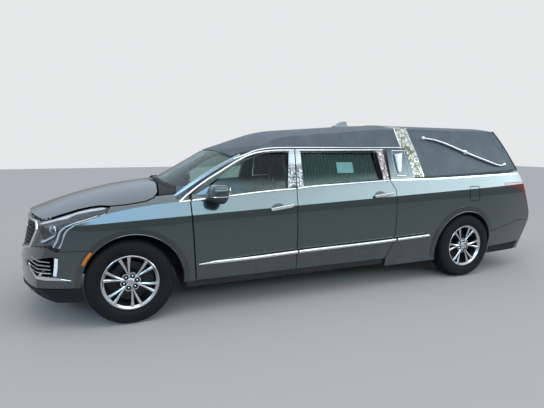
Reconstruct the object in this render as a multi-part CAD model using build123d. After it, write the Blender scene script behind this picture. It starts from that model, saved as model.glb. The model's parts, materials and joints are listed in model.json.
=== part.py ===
from build123d import *
from math import cos, radians, sin, sqrt, tan
from functools import cache
import os

# A six metre hearse on a stretched crossover: raised roof over the casket bay, four side doors,
# a lifting rear gate, steered front wheels. Millimetres. While it is modelled, X runs rearward from the
# front axle, Y to the right and Z up from the ground; send() then moves the origin to the middle.

os.makedirs("parts", exist_ok=True)

# Driving dimensions
WHEELBASE = 3830
HALF_TRACK = 820
TYRE_R = 381
TYRE_W = 235
RIM_R = 245
HALF_WIDTH = 950
NOSE_X = -966
TAIL_X = 5115
MIDDLE_X = (NOSE_X + TAIL_X) / 2
SHUT_GAP = 8
STEER_Y = 740
SKIN = 16
WALL = 60
DOOR_WALL = 105
FRAME_WALL = 45

# Lower body side section: height, distance outside the plan line; it climbs to the rear by LEAN
LOWER = [(-200, -120), (340, -28), (700, 0), (930, -12), (1130, -74), (1600, -225)]
LOWER_BULGE = [(520, -9), (820, -3)]
LEAN = 2.06
# Greenhouse side section through three heights
GREEN = [(1000, -50), (1450, -193), (1900, -425)]
# Side view lines: corner points (x, z) and the radius at each inner corner
HOOD_LINE = ([(-1350, 787), (-300, 1190), (1000, 1284), (2700, 1368), (5600, 1410)], [3750, 9000, 9000])
ROOF_LINE = ([(600, 1452), (1498, 1744), (2879, 1841), (5400, 1811)], [1340, 9500])
SCREEN_LINE = ([(-600, 727), (1700, 2018)], [])
SCREEN_SLOPE = 29.3
FRONT_LINE = ([(NOSE_X, 100), (NOSE_X, 1300)], [])
GRILLE_LINE = ([(-1044, 240), (-821, 1190)], [])
CHIN_LINE = ([(-700, -34), (-1180, 596)], [])
REAR_GLASS_LINE = ([(4200, 2415), (5200, 712)], [])
TAIL_LINE = [(4450, 1990), (4920, 1190), (5105, 750), (5115, 600), (5010, 340)]
CROWN_R = 2800
HOOD_CROWN_R = 2500
SCREEN_CROWN_R = 1450
NOSE_CROWN_R = 1500

# Side view outlines (x, z)
FRONT_DOOR = [(579, 330), (549, 1070), (575, 1125), (700, 1225), (980, 1402), (1180, 1488),
              (1400, 1536), (1638, 1546), (1612, 1150), (1598, 900), (1598, 330)]
REAR_DOOR = [(1598, 330), (1598, 900), (1612, 1150), (1638, 1546), (2704, 1546), (2738, 1203), (2796, 1100),
             (2796, 817), (2786, 539), (2715, 372), (2690, 330)]
FRONT_WINDOW = [(690, 1108), (1512, 1160), (1566, 1520), (1400, 1510), (1190, 1464), (980, 1374), (760, 1222)]
REAR_WINDOW = [(1694, 1172), (2632, 1212), (2608, 1522), (1706, 1520)]
HOOD = [(-1100, 962), (-840, 962), (-760, 952), (-679, 940), (-600, 959), (-530, 980), (-398, 1017), (-300, 1037),
        (-212, 1048), (-140, 1046), (0, 1058), (161, 1079), (241, 1104), (286, 1142), (300, 1200), (300, 1500),
        (-1100, 1500)]
HEADLAMP = [(-120, 1100), (-140, 1044), (-178, 999), (-304, 957), (-411, 926), (-465, 889), (-503, 825),
            (-525, 765), (-548, 706), (-586, 706), (-634, 742), (-730, 728), (-830, 706), (-830, 1100)]
FUEL_FLAP = [(3848, 934), (3998, 934), (3998, 1100), (3848, 1100)]
DRIP = [(300, 1000), (2700, 1000), (2700, 1572), (1807, 1572), (1380, 1560), (1098, 1512), (760, 1380),
        (300, 1130)]
QUARTER = [(2700, 240), (2702, 330), (2719, 372), (2790, 539), (2800, 817), (2800, 1102), (2743, 1203),
           (2743, 1500), (5400, 1500), (5400, 240)]
BUMPER = [(4240, 240), (4226, 520), (4700, 632), (5400, 632), (5400, 240)]
TAIL_LAMP = [(4424, 1108), (4440, 1122), (4821, 1128), (5400, 1128), (5400, 840), (4900, 840), (4800, 980),
             (4745, 1035), (4626, 1056), (4440, 1080)]
INTAKE = [(-850, 590), (-802, 597), (-684, 645), (-613, 655), (-560, 655), (-592, 481), (-748, 480), (-815, 542),
          (-850, 545)]
ROOF_BAND = [(3086, 1180), (3237, 1180), (3211, 1348), (3184, 1508), (3152, 1670), (3140, 1790), (3125, 1860),
             (2965, 1860), (2979, 1785), (2987, 1646), (3018, 1475), (3070, 1295)]
# Outlines seen from the front or the rear (y, z); all but the lamp's are halves
LAMP_FRONT = [(702, 1200), (702, 938), (698, 844), (661, 787), (628, 700), (628, 600), (1000, 600), (1000, 1200)]
GATE_HALF = [(0, 1737), (430, 1722), (560, 1640), (672, 1240), (672, 700), (640, 640), (0, 640)]
GATE_WINDOW = [(0, 1640), (395, 1630), (470, 1570), (585, 1290), (0, 1275)]
GRILLE = [(0, 926), (640, 926), (668, 850), (632, 785), (600, 716), (521, 706), (374, 655), (0, 636)]
LOW_GRILLE = [(0, 560), (400, 560), (440, 450), (0, 450)]
BUMPER_TOP, BUMPER_LOW = 942, 378
GATE_X = 4300
PLATE_HOLES = 178
PLATE_HOLE_R = 3
FRONT_ARCH = (34, 379, 434)
REAR_ARCH = (3815, 376, 426)
FRONT_LIP = (36, 378, 485)
REAR_LIP = (3812, 379, 487)
LIP_LIFT = 4
FRONT_WELL_R = 480

# Door handles: x, z, the skin's y and the tilt
FRONT_HANDLE = (1428, 980, -938, 7)
REAR_HANDLE = (2619, 1052, -929, 5)

# Where each wheel is: x, side, and the turn of its first spoke pair from the rear towards the top
WHEELS = {"front_left": (0, -1, -19), "rear_left": (WHEELBASE, -1, 0), "front_right": (0, 1, 17),
          "rear_right": (WHEELBASE, 1, 34)}

# Hinges: x, y of the left ones; height where the axis lies across the car
FRONT_HINGE = (640, -935)
REAR_HINGE = (1650, -935)
HOOD_HINGE = (470, 1140)
GATE_HINGE = (4600, 1745)


def tangent_path(corners, radii):
    """Lines and tangent arcs through corners: kind, start, heading, length or turn, centre."""
    runs = []
    points = [Vector(a, b, 0) for a, b in corners]
    start = points[0]
    for i, radius in enumerate(radii, 1):
        into = (points[i] - points[i - 1]).normalized()
        out = (points[i + 1] - points[i]).normalized()
        turn = into.get_angle(out)
        cut = radius * tan(radians(turn) / 2)
        begin, end = points[i] - into * cut, points[i] + out * cut
        inward = Vector(into.Y, -into.X, 0)
        if into.X * out.Y > into.Y * out.X:
            inward = inward * -1
        runs.append(("line", start, into, (begin - start).length, None))
        runs.append(("arc", begin, into, turn, begin + inward * radius))
        start = end
    last = points[-1] - start
    return runs + [("line", start, last.normalized(), last.length, None)]


def plan_path(front_x, front_r, rear_x, rear_r, front_turn, rear_turn):
    """Plan line of the left side: front arc, straight middle, rear arc, each with a straight end."""
    a, b = radians(front_turn), radians(rear_turn)
    middle = Vector(1, 0, 0)
    front_centre = Vector(front_x, front_r - HALF_WIDTH, 0)
    rear_centre = Vector(rear_x, rear_r - HALF_WIDTH, 0)
    first = Vector(cos(a), -sin(a), 0)
    begin = front_centre - Vector(sin(a), cos(a), 0) * front_r
    end = rear_centre + Vector(sin(b), -cos(b), 0) * rear_r
    return [("line", begin - first * 900, first, 900, None),
            ("arc", begin, first, front_turn, front_centre),
            ("line", Vector(front_x, -HALF_WIDTH, 0), middle, rear_x - front_x, None),
            ("arc", Vector(rear_x, -HALF_WIDTH, 0), middle, rear_turn, rear_centre),
            ("line", end, Vector(cos(b), sin(b), 0), 900, None)]


LOWER_PLAN = plan_path(-200, 1000, 4000, 6000, 62, 12)
GREEN_PLAN = plan_path(1300, 4000, 3400, 14000, 20, 6)


def carry(section, runs, plan):
    """Carry a section along the runs of a plan view path or a side view path."""
    across = (0, 0, 1) if plan else (0, 1, 0)
    solids = []
    for kind, start, heading, size, centre in runs:
        spots = [v if plan else Vector(v.X, 0, v.Y) for v in (start, heading, centre or start)]
        face = Plane(origin=spots[0], x_dir=across, z_dir=spots[1]) * section
        if kind == "line":
            solids.append(extrude(face, size))
        else:
            solids.append(revolve(face, Axis(spots[2], across), size))
    return solids


def lower_curve(inset):
    p = [(z, out - inset) for z, out in LOWER]
    m = [(z, out - inset) for z, out in LOWER_BULGE]
    return [Line(p[0], p[1]), ThreePointArc(p[1], m[0], p[2]), ThreePointArc(p[2], m[1], p[3]),
            Line(p[3], p[4]), Line(p[4], p[5])]


def green_curve(inset):
    return [ThreePointArc(*[(z, out - inset) for z, out in GREEN])]


def ring(curve, far):
    """Face between a curve and the points that close it."""
    start, end = curve[0] @ 0, curve[-1] @ 1
    return make_face(Curve() + curve + Polyline(end, *far, start))


def outside_side(curve, plan):
    low, high = (curve[0] @ 0).X, (curve[-1] @ 1).X
    return carry(ring(curve, [(high, 500), (low, 500)]), plan, True)


def outside_lower(inset):
    return [s.rotate(Axis.Y, -LEAN) for s in outside_side(lower_curve(inset), LOWER_PLAN)]


def outside_green(inset):
    return outside_side(green_curve(inset), GREEN_PLAN)


def band(make_curve, plan, near, far, lean=0):
    """Left side wall between two depths under the surface."""
    outer, inner = make_curve(near), make_curve(far)
    ends = [(inner[-1] @ 1), (inner[0] @ 0)]
    face = make_face(Curve() + outer + Line(outer[-1] @ 1, ends[0]) + inner + Line(ends[1], outer[0] @ 0))
    solids = carry(face, plan, True)
    wall = solids[0] + solids[1:]
    return wall.rotate(Axis.Y, -lean)


def outside_top(line, inset, radius=CROWN_R, wide=1300, high=900):
    """Solids above a crowned surface whose middle follows a side view line."""
    def fall(u):
        return sqrt((radius - inset) ** 2 - u * u) - radius
    arc = ThreePointArc((-wide, fall(wide)), (0, -inset), (wide, fall(wide)))
    face = ring([arc], [(wide, high), (-wide, high)])
    return carry(face, tangent_path(*line), False)


def tail_lines():
    """Each tail line on its own, long enough to cross its neighbours."""
    for a, b in zip(TAIL_LINE, TAIL_LINE[1:]):
        way = (Vector(*b) - Vector(*a)).normalized() * 1500
        yield [(a[0] - way.X, a[1] - way.Y), (b[0] + way.X, b[1] + way.Y)], []


def both(solids):
    return solids + [mirror(s, Plane.XZ) for s in solids]


def cut_all(body, tools):
    for tool in tools:
        body = body - tool
    return body


@cache
def lower_volume(inset):
    body = Pos(2070, 0, 1000) * Box(6200, 2100, 1560)
    tools = both(outside_lower(inset)) + outside_top(HOOD_LINE, inset, HOOD_CROWN_R)
    for line in (FRONT_LINE, GRILLE_LINE, CHIN_LINE):
        tools += outside_top(line, inset, NOSE_CROWN_R)
    for line in tail_lines():
        tools += outside_top(line, inset)
    return cut_all(body, tools)


@cache
def green_volume(inset):
    body = Pos(2700, 0, 1450) * Box(4800, 2000, 900)
    tools = both(outside_green(inset)) + outside_top(SCREEN_LINE, inset, SCREEN_CROWN_R)
    tools += outside_top(ROOF_LINE, inset) + outside_top(REAR_GLASS_LINE, inset)
    return cut_all(body, tools)


def outline(points, grow=0, corner=0):
    """Side view face, grown or shrunk, with rounded corners."""
    face = make_face(Polyline(*points, close=True))
    if corner:
        face = fillet(face.vertices(), corner)
    return offset(face, amount=grow) if grow else face


def left(face, depth=1300):
    """Side view face carried through the left half of the car."""
    return extrude(Plane.XZ * face, depth)


def across(face, half=1300):
    return extrude(Plane.XZ * face, half, both=True)


def block(x0, x1, y0, y1, z0, z1):
    size = Vector(x1 - x0, y1 - y0, z1 - z0)
    return Pos((x0 + x1) / 2, (y0 + y1) / 2, (z0 + z1) / 2) * Box(size.X, size.Y, size.Z)


def drum(x, z, radius, y0, y1):
    """Cylinder along Y between two places."""
    return Pos(x, (y0 + y1) / 2, z) * Rot(90, 0, 0) * Cylinder(radius, abs(y1 - y0))


def pair(solid):
    return solid + mirror(solid, Plane.XZ)


def send(name, shape):
    export_step(Pos(-MIDDLE_X, 0, 0) * shape, f"parts/{name}.step")


def send_sides(name, shape):
    send(name + "_left", shape)
    send(name + "_right", mirror(shape, Plane.XZ))


def biggest(shape):
    return shape.solids().sort_by(SortBy.VOLUME)[-1]


lower, lower_in, lower_wall = lower_volume(0), lower_volume(SKIN), lower_volume(WALL)
green, green_in = green_volume(0), green_volume(FRAME_WALL)
glass_layer = green_volume(8) - green_volume(13)

front_mouth = drum(*FRONT_ARCH, -600, -1200)
rear_mouth = drum(*REAR_ARCH, -640, -1200)
lips = [block(-600, 4400, -1000, -850, 300, 1000) & drum(*lip, -850, -1000) for lip in (FRONT_LIP, REAR_LIP)]
arched = lower + (lower_volume(-LIP_LIFT) & lips[0]) + (lower_volume(-LIP_LIFT) & lips[1])


def mirrored(points, flat):
    """Closed outline from its half; flat is the index of the coordinate that changes sign."""
    other = [tuple(-v if i == flat else v for i, v in enumerate(p)) for p in points[::-1]]
    return make_face(Polyline(*points, *[p for p in other if p[flat] != 0], close=True))


def hood_prism(grow):
    return across(outline(HOOD, grow))


def rear_prism(face, grow=0):
    """Rear view face carried to the rear."""
    face = offset(face, amount=grow) if grow else face
    return extrude(Plane(origin=(GATE_X, 0, 0), x_dir=(0, 1, 0), z_dir=(1, 0, 0)) * face, 1000)


def screen_prism(grow, depth=400):
    """Windscreen opening, bowed at the top, carried along the screen's normal."""
    place = Plane(origin=(284, 0, 1223), x_dir=(0, -1, 0),
                  z_dir=(-sin(radians(SCREEN_SLOPE)), 0, cos(radians(SCREEN_SLOPE))))
    edge = Curve() + [ThreePointArc((-640, 765), (0, 672), (640, 765)),
                      Polyline((640, 765), (742, -300), (-742, -300), (-640, 765))]
    return extrude(place * offset(make_face(edge), amount=grow), depth, both=True)


hood_hole, gate_hole = hood_prism(0), rear_prism(mirrored(GATE_HALF, 0))
door_holes = left(outline(FRONT_DOOR, 4)) + left(outline(REAR_DOOR, 4))
quarter_skin = (arched - lower_wall) & left(outline(QUARTER))


def make_body_side():
    """Sill, hinge post, centre post, pillar and roof rail frame."""
    sill = band(lower_curve, LOWER_PLAN, 30, 150, LEAN)
    rocker = sill & block(492, 3330, -1000, -600, 262, 425)
    for (x, y), reach in ((FRONT_HINGE, 74), (REAR_HINGE, 62)):
        rocker = rocker - Pos(x, y, 380) * Cylinder(reach, 120)
    rocker = rocker - quarter_skin
    hinge_post = sill & left(outline([(492, 300), (492, 1050), (539, 1050), (566, 300)]))
    post = band(lower_curve, LOWER_PLAN, 125, 185, LEAN) & block(1545, 1645, -1000, -600, 400, 1130)
    post_top = band(green_curve, GREEN_PLAN, 62, 105) & block(1545, 1645, -1000, -500, 1090, 1560)
    walls = green - green_in
    frame = (walls & left(outline(DRIP))) - door_holes - screen_prism(0) - lower
    foot = band(green_curve, GREEN_PLAN, 0, FRAME_WALL) & block(440, 539, -1000, -600, 1010, 1200)
    rail = band(green_curve, GREEN_PLAN, FRAME_WALL - 5, 105) & block(1400, 2690, -1000, -500, 1550, 1560)
    return rocker + hinge_post + post + post_top + biggest(frame) + rail + foot


def make_quarter():
    """Rear quarter wall behind the doors, with its wheel arch."""
    quarter = quarter_skin - left(outline(BUMPER, 4)) - left(outline(TAIL_LAMP, 2)) - gate_hole - rear_mouth
    return biggest(quarter - block(2600, 5400, -640, 10, 900, 1600))


def make_roof():
    shell = (green - green_in) - across(outline(DRIP)) - screen_prism(0) - gate_hole - lower
    shell = shell - both([door_holes])
    shell = shell & block(700, 5200, -1000, 1000, 1100, 2000)
    return biggest(shell)


def make_handle(x, z, y, tilt):
    """Pull handle on two feet that stand in the door's skin."""
    bar = Pos(0, -26, 0) * fillet(Box(232, 15, 25).edges(), 7)
    feet = [Pos(dx, -12, 0) * Box(30, 28, 16) for dx in (-94, 94)]
    return Pos(x, y, z) * Rot(0, -tilt, 0) * (bar + feet)


def make_door(points, window, handle):
    skin = (lower + green) & left(outline(points, -4))
    deep = left(outline(points, -18)) & block(0, 3000, -1200, 0, 432, 1600)
    inner = lower_volume(DOOR_WALL) + green_in
    outer_skin = skin - (lower_volume(12) + green_volume(12))
    return outer_skin + ((skin & deep) - inner) - left(outline(window)) + make_handle(*handle)


def make_glass(window):
    return glass_layer & left(outline(window, -1.5))


def make_hood():
    return biggest((lower & hood_prism(-SHUT_GAP)) - lower_in)


def make_fender():
    zone = left(outline([(571, 330), (541, 1070), (545, 1250), (-900, 1250), (-900, 704), (-300, 704),
                         (-300, 330)]))
    shell = (arched & zone) - lower_in - hood_hole - front_mouth
    shell = shell - left(outline(HEADLAMP, 4)) - (green & block(300, 600, -1000, 0, 1000, 1400))
    foot = band(green_curve, GREEN_PLAN, -3, FRAME_WALL + 3) & block(430, 600, -1000, 0, 1000, 1300)
    shell = shell - foot - block(200, 600, -745, 0, 900, 1400)
    shell = shell - block(-1000, -560, -700, 0, 600, 1300)
    return biggest(shell)


def lamp_zone(grow):
    """Left headlamp's place: its side view outline, and its inner edge as seen from the front."""
    face = offset(make_face(Polyline(*LAMP_FRONT, close=True)), amount=grow)
    front = extrude(Plane(origin=(0, 0, 0), x_dir=(0, -1, 0), z_dir=(-1, 0, 0)) * face, 1200)
    return left(outline(HEADLAMP, grow)) & front


def make_headlamp():
    return biggest((lower & lamp_zone(-1)) - lower_volume(90) - hood_hole)


def make_gate():
    wall = (lower + green) & rear_prism(mirrored(GATE_HALF, 0), -SHUT_GAP)
    return biggest(wall - lower_wall - green_in - rear_prism(mirrored(GATE_WINDOW, 0), 0))


def make_fuel_flap():
    return (lower & left(outline(FUEL_FLAP, -4, 22))) - lower_volume(5)


def make_front_bumper():
    """Nose skin below the hood, open for the grille, the lamps and the side intakes."""
    zone = block(-1100, -300, -1000, 1000, BUMPER_LOW, BUMPER_TOP)
    lips = mirror(arched & block(-600, -300, -1100, 0, BUMPER_LOW, 700), Plane.XZ)
    shell = ((arched + lips) & zone) - lower_volume(24) - block(-580, -200, -1000, 1000, 700, 1000)
    intake = left(outline(INTAKE)) & block(-1100, -540, -1000, -590, 300, 700)
    shell = shell - both([front_mouth, lamp_zone(4), intake]) - hood_prism(SHUT_GAP)
    shell = shell - nose_prism(GRILLE, 0) - nose_prism(LOW_GRILLE, 0)
    return biggest(shell)


def nose_prism(half, grow):
    face = mirrored(half, 0)
    face = offset(face, amount=grow) if grow else face
    return extrude(Plane(origin=(-600, 0, 0), x_dir=(0, -1, 0), z_dir=(-1, 0, 0)) * face, 600)


def make_valance():
    zone = block(-1100, -300, -1000, 1000, 246, BUMPER_LOW - SHUT_GAP)
    shell = (lower & zone) - lower_volume(24) - both([front_mouth])
    tray = block(-840, -500, -600, 600, 246, 262)
    return biggest(shell) + (tray & lower)


def make_grille():
    """Frame and crossing bars that follow the nose, one behind each opening."""
    layer = lower_volume(6) - lower_volume(22)
    parts = []
    for half, rows, columns in ((GRILLE, 7, 14), (LOW_GRILLE, 3, 12)):
        low, high = min(z for y, z in half), max(z for y, z in half)
        wide = max(y for y, z in half)
        frame = nose_prism(half, -1.5) - nose_prism(half, -16)
        bars = [block(-1200, -600, -wide, wide, z - 3, z + 3)
                for z in [low + (high - low) * (i + 1) / (rows + 1) for i in range(rows)]]
        bars += [block(-1200, -600, y - 3, y + 3, low, high)
                 for y in [-wide + 2 * wide * (i + 0.5) / columns for i in range(columns)]]
        net = bars[0] + bars[1:]
        parts.append(layer & (frame + (net & nose_prism(half, -10))))
    return parts[0] + parts[1]


def make_tail_lamp():
    zone = left(outline(TAIL_LAMP, -1))
    return biggest((lower & zone) - lower_volume(70) - gate_hole - block(4000, 5400, -640, 10, 700, 1300))


def make_rear_bumper():
    shell = (lower & across(outline(BUMPER, -2))) - lower_wall
    shell = shell - both([drum(*REAR_ARCH, -500, -1200)]) - gate_hole
    plate_seat = block(5000, 5200, -260, 260, 440, 560)
    recess = plate_seat & block(5076, 5200, -260, 260, 440, 560)
    shell = shell - recess + (plate_seat & block(5050, 5080, -270, 270, 430, 570))
    for y in (-PLATE_HOLES / 2, PLATE_HOLES / 2):
        shell = shell - Pos(5060, y, 500) * Rot(0, 90, 0) * Cylinder(PLATE_HOLE_R, 120)
    return biggest(shell)


def make_floor():
    """Floor pressings: cabin floor, toe board, rear arch boxes and the raised load floor."""
    cabin = block(500, 3180, -690, 690, 282, 306) - block(500, 3180, -130, 130, 200, 320)
    tunnel = extrude(Plane.YZ.offset(500) * make_face(Polyline(
        (-150, 282), (-115, 380), (115, 380), (150, 282), (125, 282), (98, 358), (-98, 358), (-125, 282),
        close=True)), 2680)
    ramp = extrude(Plane.XZ.offset(-600) * make_face(Polyline(
        (3180, 282), (3300, 520), (4940, 520), (4940, 544), (3285, 544), (3165, 306), close=True)), 1200)
    shelf = block(500, 520, -690, 690, 306, 620)
    return cabin + tunnel + ramp + shelf


def make_bulkhead():
    """Firewall and the cowl under the windscreen's foot."""
    wall = block(492, 497, -690, 690, 310, 1040)
    cowl = (lower & block(290, 560, -720, 720, 1000, 1300)) - lower_volume(5)
    cowl = cowl - hood_prism(SHUT_GAP)
    return wall + cowl


def make_liners(x, radius, inner, outer, inset):
    """Arch liners: a half drum inboard of each wheel of one axle."""
    liner = drum(x, TYRE_R, radius + 4, -inner, -outer) - drum(x, TYRE_R, radius, -inner - 4, -outer - 10)
    liner = liner & block(x - 600, x + 600, -1000, 0, TYRE_R, 1000)
    return pair(biggest((liner & lower_volume(inset)) - drum(x, TYRE_R, 40, -500, -900)))


def make_engine():
    return block(-380, 250, -290, 330, 350, 880)


def make_tyre(x, side):
    """Tyre section turned about the wheel's axis."""
    half = TYRE_W / 2
    section = make_face(Polyline((RIM_R + 2, -half + 22), (RIM_R + 40, -half), (TYRE_R - 45, -half),
                                 (TYRE_R - 12, -half + 18), (TYRE_R, -half + 48), (TYRE_R, half - 48),
                                 (TYRE_R - 12, half - 18), (TYRE_R - 45, half), (RIM_R + 40, half),
                                 (RIM_R + 2, half - 22), (RIM_R - 12, half - 30), (RIM_R - 12, 30 - half),
                                 close=True))
    tyre = revolve(Plane.XZ * section, Axis.Z)
    return Pos(x, side * HALF_TRACK, TYRE_R) * Rot(90, 0, 0) * tyre


def make_spokes():
    """Twelve tapered spokes in six V pairs, cut from one turned dish."""
    dish = revolve(Plane.XZ * make_face(Polyline(
        (50, -80), (150, -86), (RIM_R - 14, -98), (RIM_R - 18, -66), (150, -52), (50, -36), close=True)), Axis.Z)
    spokes = []
    for k in range(6):
        for hand in (-1, 1):
            a, b = [Vector(r, 0, 0).rotate(Axis.Z, 60 * k + hand * turn) for r, turn in ((56, 4.2), (236, 10.5))]
            aside = Vector(a.Y - b.Y, b.X - a.X, 0).normalized()
            corners = [a - aside * 6.5, b - aside * 15.5, b + aside * 15.5, a + aside * 6.5]
            spokes.append(dish & extrude(make_face(Polyline(*corners, close=True)), 120, both=True))
    return spokes


def make_wheel(x, side, phase):
    """Rim barrel, hub with its nuts in pockets, spokes and the brake disc; outer face towards -Y."""
    rim = revolve(Plane.XZ * make_face(Polyline(
        (RIM_R, -96), (RIM_R - 2, -108), (RIM_R - 12, -108), (RIM_R - 22, -60), (RIM_R - 30, 0),
        (RIM_R - 30, 84), (RIM_R - 14, 100), (RIM_R, 96), (RIM_R - 15, 89), (RIM_R - 20, 60),
        (RIM_R - 20, 0), (RIM_R - 15, -88), close=True)), Axis.Z)
    hub = revolve(Plane.XZ * make_face(Polyline(
        (0, -87), (28, -87), (33, -82), (82, -78), (88, -60), (80, -30), (80, 30), (0, 30), close=True)), Axis.Z)
    wheel = rim + hub + make_spokes()
    spots = [Rot(0, 0, 60 * k + 30) * Pos(57, 0, 0) for k in range(6)]
    wheel = wheel - [spot * Pos(0, 0, -78) * Cylinder(15, 30) for spot in spots]
    nut = extrude(RegularPolygon(10, 6), 20)
    wheel = wheel + [spot * Pos(0, 0, -81) * nut for spot in spots] + Pos(0, 0, 41) * Cylinder(165, 22)
    turn = Rot(-90, 0, 0) if side < 0 else Rot(90, 0, 0)
    return Pos(x, side * HALF_TRACK, TYRE_R) * turn * Rot(0, 0, side * phase) * wheel


def make_knuckle():
    """Left upright with its hub carrier, caliper and steering arm, all inside the rim."""
    face = -STEER_Y
    upright = block(-40, 40, face - 6, face + 30, 270, 520)
    stub = drum(0, TYRE_R, 48, face - 22, face + 30)
    arm = block(-150, -30, face, face + 26, 300, 330)
    caliper = block(120, 192, -806, face + 20, 340, 440) - drum(0, TYRE_R, 171, -797, -762)
    bracket = block(30, 192, face - 6, face + 20, 350, 432)
    pin = Pos(0, face, 527) * Cylinder(13, 20)
    return upright + stub + arm + caliper + bracket + pin


def make_front_suspension():
    """Subframe, lower arms, spring struts and the rack, all clear of the steered wheels."""
    parts = block(-260, 250, -330, 330, 235, 300) - block(-180, 170, -230, 230, 200, 320)
    arm = Pos(0, 0, 236) * extrude(make_face(Polyline(
        (-160, 325), (170, 325), (60, 540), (34, 640), (18, 746), (-18, 746), (-34, 640), (-60, 540), close=True)), 26)
    strut = Pos(0, 565, 400) * Cylinder(24, 290) + Pos(0, 565, 658) * Cylinder(48, 394)
    rack = Pos(210, 0, 318) * Rot(90, 0, 0) * Cylinder(26, 640)
    return parts + both([arm, strut]) + rack


def make_rear_suspension():
    """Axle beam on trailing arms with coil springs, carrying the two rear hubs."""
    beam = drum(WHEELBASE, TYRE_R, 40, -630, 630)
    hub = drum(WHEELBASE, TYRE_R, 55, 700, 762)
    link = drum(WHEELBASE, TYRE_R, 34, 620, 705)
    arm = Pos(0, 580, 0) * left(outline([(3310, 330), (3330, 400), (3830, 420), (3830, 345)]), 40)
    spring = Pos(3700, 470, 465) * Cylinder(55, 110) + Pos(3700, 470, 400) * Cylinder(60, 60)
    return beam + both([hub, link, arm, spring]) + block(3660, 3830, -520, 520, 370, 395)


def make_exhaust():
    """Pipe under the tunnel, silencer and tail pipe."""
    path = FilletPolyline((300, 0, 246), (2850, 0, 246), (3210, -330, 246), (3440, -330, 470), (4000, -330, 470),
                          (4260, -330, 330), (4760, -330, 320), radius=90)
    pipe = sweep(Plane(origin=path @ 0, z_dir=path % 0) * Circle(28), path=path)
    box = Pos(4500, -330, 330) * Rot(0, 90, 0) * Cylinder(95, 420)
    return pipe + box


def make_tank():
    return fillet(block(2300, 3120, 160, 560, 180, 276).edges().filter_by(Axis.Z), 50)


def make_casket_deck():
    """Raised deck with side rails, rollers across it and bier pin plates."""
    deck = block(1980, 4880, -600, 600, 640, 664)
    legs = [block(x, x + 40, y - 180, y + 180, 306, 640) for x in (2000, 2500, 3000) for y in (-380, 380)]
    legs += [block(x, x + 40, -540, 540, 544, 640) for x in (3500, 4100, 4700)]
    deck = deck + legs
    rails = [block(2000, 4860, y - 12, y + 12, 664, 690) for y in (-330, 330)]
    rollers = [Pos(x, 0, 683) * Rot(90, 0, 0) * Cylinder(17, 640) for x in range(2100, 4801, 300)]
    return deck + rails + rollers


def make_seat(y):
    """Base, cushion and backrest of one seat as a single soft form on its rail."""
    profile = [(1060, 560), (1080, 470), (1560, 440), (1680, 470), (1850, 1090), (1840, 1150), (1770, 1160),
               (1720, 1100), (1570, 600), (1100, 620)]
    face = fillet(make_face(Polyline(*profile, close=True)).vertices(), 22)
    body = Pos(0, y + 250, 0) * extrude(Plane.XZ * face, 500)
    head = Pos(1830, y, 1260) * Rot(0, 12, 0) * fillet(Box(90, 270, 170).edges(), 30)
    posts = [Pos(1808, y + d, 1165) * Rot(0, 12, 0) * Cylinder(7, 90) for d in (-70, 70)]
    feet = [block(1120, 1560, y + d - 20, y + d + 20, 306, 480) for d in (-190, 190)]
    return body + posts + feet + head


def make_dashboard():
    face = make_face(Polyline((520, 1000), (640, 1075), (820, 1080), (905, 1040), (930, 960), (880, 860),
                              (800, 780), (700, 760), (560, 760), (520, 820), close=True))
    face = fillet(face.vertices(), 18)
    dash = extrude(Plane.XZ * face, 690, both=True)
    hood = Pos(840, -370, 1075) * Box(150, 360, 60)
    console = Pos(0, 110, 0) * left(outline([(700, 384), (1500, 384), (1500, 620), (930, 690), (800, 790),
                                             (700, 790)]), 220)
    column = Pos(930, -370, 930) * Rot(0, 65, 0) * Cylinder(35, 222)
    return dash + fillet(hood.edges(), 18) + console + column


def make_steering_wheel():
    ring_part = Torus(185, 15)
    hub = Cylinder(55, 40)
    spokes = [Rot(0, 0, a) * Pos(100, 0, 0) * Box(150, 34, 14) for a in (0, 180, 270)]
    return Pos(1050, -370, 985) * Rot(0, -25, 0) * Rot(0, 90, 0) * (ring_part + hub + spokes)


def make_mirror():
    """Left door mirror on its foot."""
    shell = Pos(770, -1030, 1150) * fillet(Box(150, 210, 165).edges(), 42)
    foot = block(720, 790, -950, -870, 1085, 1130)
    arm = Pos(762, -935, 1118) * Rot(90, 0, 0) * Cylinder(20, 120)
    return shell + (foot - lower) + (arm - lower)


def make_landau():
    """Carriage iron on the rear quarter: a flat S with ball ends and a round centre boss."""
    layer = (green_volume(-16) - green_volume(-4)) & block(3000, 5000, -1000, -600, 1200, 1800)
    line = Curve() + [ThreePointArc((3343, 1668), (3640, 1609), (3932, 1501)),
                      ThreePointArc((3932, 1501), (4280, 1386), (4586, 1347))]
    shape = left(make_face(line.offset_2d(13))) + drum(3932, 1501, 30, -600, -900)
    balls = (((3343, -683, 1668), 21), ((3932, -750, 1501), 20), ((4586, -767, 1347), 17))
    return biggest(layer & shape) + [Pos(*spot) * Sphere(radius) for spot, radius in balls]


def make_roof_band():
    """Bright band that leans forward as it climbs the side and passes over the roof."""
    layer = green_volume(-6) - green_volume(-0.5)
    return biggest((layer & across(outline(ROOF_BAND))) - lower_volume(-2))


def make_fin():
    face = make_face(Polyline((2500, 1800), (2560, 1862), (2640, 1886), (2690, 1884), (2712, 1800), close=True))
    fin = extrude(Plane.XZ * face, 14, both=True)
    foot = Pos(2610, 0, 1816) * fillet(Box(230, 70, 26).edges().filter_by(Axis.Z), 30)
    return (fin + foot) - green


def make_curtain():
    """Pleated curtain inside the rear door glass, as a plain thin slab."""
    layer = green_volume(60) - green_volume(78)
    return layer & left(outline([(1690, 1175), (2640, 1200), (2615, 1515), (1690, 1515)]))


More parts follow.
